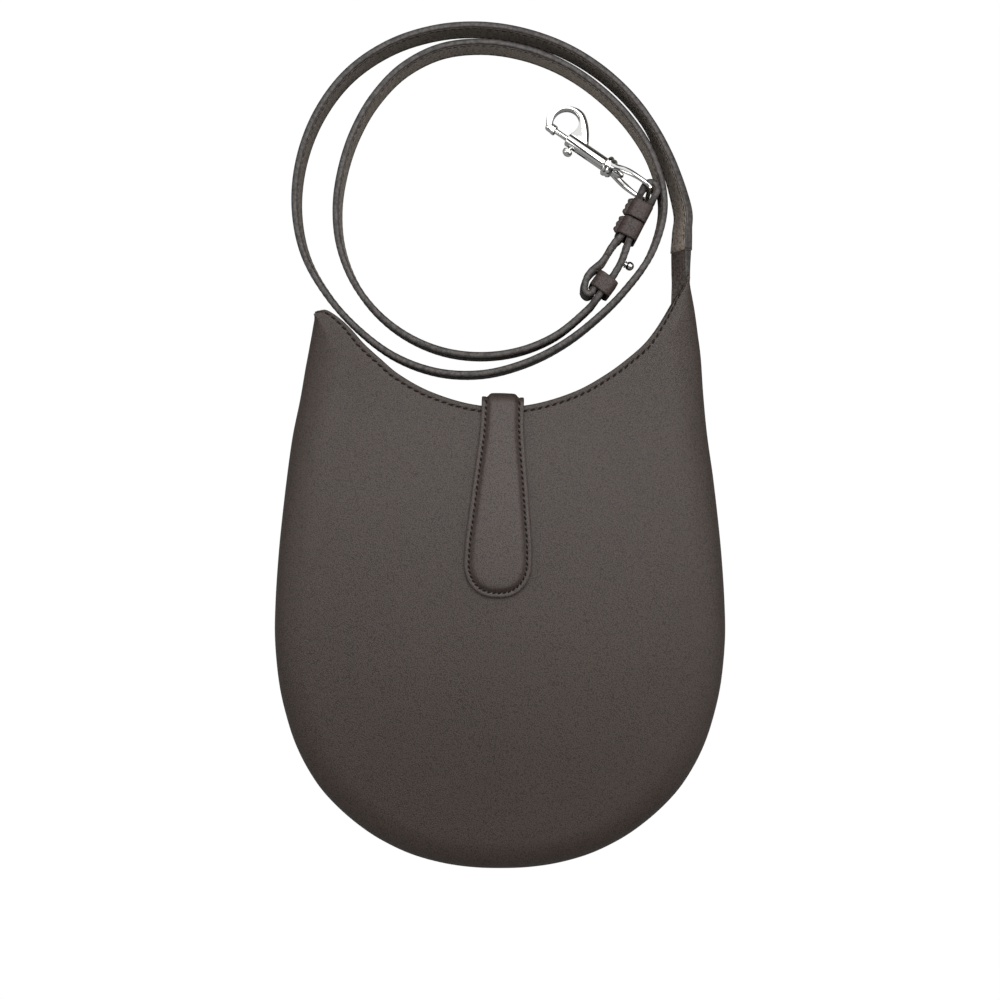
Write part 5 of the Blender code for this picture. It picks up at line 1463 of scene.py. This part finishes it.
hook = combined("snap_hook_body", turned(barrel, snap_matrix),
                [("UNION", hook_plate(snap_matrix)), ("UNION", turned(nose, snap_matrix))]
                + [("DIFFERENCE", cut) for cut in hook_cuts], plated)
bolt = turned_piece("snap_spring_bolt", rod(BOLT_FROM, BOLT_TO, BOLT_RADIUS), 0.0004, snap_matrix)
knob_matrix = snap_matrix @ Matrix.Translation((KNOB_AT, 0, 0)) @ Matrix.Rotation(math.pi / 2, 4, "Z")
knob_profile = [(KNOB_FROM + (KNOB_TO - KNOB_FROM) * along, KNOB_RADIUS * radius) for along, radius in
                ((1.00, 0.00), (0.95, 0.42), (0.76, 0.82), (0.52, 1.00), (0.18, 1.00), (0.00, 0.86))]
knob_profile += [(KNOB_FROM, KNOB_STEM), (BOLT_RADIUS, KNOB_STEM), (BOLT_RADIUS, 0)]
knob = turned_piece("snap_knob", knob_profile, 0.0004, knob_matrix)

SPRING_RADIUS = 0.00095
SPRING_WIRE = 0.00018
SPRING_TURNS = 9
SPRING_STEPS = 20
spring_from = BORE_FROM + SPRING_WIRE
spring_length = BOLT_FROM - SPRING_WIRE - spring_from
spring_curve = bpy.data.curves.new("snap_coil_spring", "CURVE")
spring_curve.dimensions = "3D"
spring_curve.bevel_depth = SPRING_WIRE
spring_curve.bevel_resolution = 2
spring_curve.use_fill_caps = True
spline = spring_curve.splines.new("POLY")
count = SPRING_TURNS * SPRING_STEPS
spline.points.add(count)
for index, point in enumerate(spline.points):
    turn = 2 * math.pi * index / SPRING_STEPS
    spot = snap_matrix @ Vector((spring_from + spring_length * index / count,
                                 SPRING_RADIUS * math.cos(turn), SPRING_RADIUS * math.sin(turn)))
    point.co = (*spot, 1)
spring_curve.materials.append(bare_steel)
spring = bpy.data.objects.new("snap_coil_spring", spring_curve)
bpy.context.scene.collection.objects.link(spring)
bpy.context.view_layer.update()
spring_mesh = bpy.data.meshes.new_from_object(spring.evaluated_get(bpy.context.evaluated_depsgraph_get()))
bpy.data.objects.remove(spring, do_unlink=True)
spring = bpy.data.objects.new("snap_coil_spring", spring_mesh)
bpy.context.scene.collection.objects.link(spring)
for piece, node, body in ((hook, "snap_body", "snap"), (bolt, "snap_bolt", "bolt"),
                          (knob, "snap_thumb_knob", "bolt"), (spring, "snap_spring", "snap")):
    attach(piece, body)
    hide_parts(node)
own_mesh(spring)
ends += [eye, rivet, hook, bolt, knob, spring]


# The D-ring: a bent wire ring that the snap hook clips to, in a folded loop of leather
# sewn in the left horn.
RING_X = -0.0720
RING_BAR_Y = 0.0800
RING_HALF_WIDTH = 0.0076
RING_DEPTH = 0.0120
RING_WIRE = 0.0012
RING_CORNER = 0.0003
LOOP_PLY = 0.0012
LOOP_LENGTH = 0.0150
LOOP_HALF_WIDTH = 0.0056
LOOP_STEPS = 80
LOOP_PINCH = 0.0022
LOOP_PINCH_SHARE = 0.72
LOOP_SHUT = 0.0045
ring_z = LEATHER + GAP + LINING + GAP + LOOP_PLY + GAP + RING_WIRE
ring_matrix = Matrix.Translation((RING_X, RING_BAR_Y, ring_z))
ring_bow = arc_points((0, RING_DEPTH - RING_HALF_WIDTH), RING_HALF_WIDTH, 25, 0, math.pi)
corner = RING_HALF_WIDTH - RING_WIRE
ring_path = [(0, 0), (corner, 0), (RING_HALF_WIDTH - RING_CORNER, RING_CORNER), (RING_HALF_WIDTH, RING_WIRE)]
ring_path += ring_bow + [(-RING_HALF_WIDTH, RING_WIRE), (RING_CORNER - RING_HALF_WIDTH, RING_CORNER)]
ring_path += [(-corner, 0), (0, 0)]
lay_flat = Matrix.Rotation(-math.pi / 2, 4, "X")
ring_line = Line([Vector((x, 0, y)) for x, y in ring_path], 3)
ring_points = [ring_line.at(index / 120) for index in range(121)]
d_ring = finished("d_ring_wire", wire(ring_points, RING_WIRE, RING_WIRE, ring_matrix @ lay_flat, 16),
                  [plated], sharp=60)
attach(d_ring, "ring")
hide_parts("d_ring")

loop_radius = RING_WIRE + GAP + LOOP_PLY / 2
loop_stations = []
loop_line = Line([Vector((-LOOP_LENGTH, -loop_radius)), Vector((-LOOP_LENGTH / 2, -loop_radius))]
                 + [Vector((x, y)) for x, y in arc_points((0, 0), loop_radius, 13, -math.pi / 2, math.pi / 2)]
                 + [Vector((-LOOP_PINCH, loop_radius * LOOP_PINCH_SHARE)),
                    Vector((-LOOP_SHUT, LOOP_PLY + GAP / 2 - loop_radius)),
                    Vector((-LOOP_LENGTH, LOOP_PLY + GAP / 2 - loop_radius))], 4)
for index in range(LOOP_STEPS + 1):
    share = index / LOOP_STEPS
    heading = loop_line.heading(share, 0.0003)
    loop_stations.append((ring_matrix @ Vector((0, *loop_line.at(share))), Vector((0, heading.y, -heading.x)),
                          Vector((1, 0, 0)), LOOP_PLY / 2, LOOP_HALF_WIDTH))
ring_loop = sweep_band("ring_leather_loop", loop_stations, KEEPER_RING, [keeper_leather, strap_paint])
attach(ring_loop, "bag")
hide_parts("ring_loop")
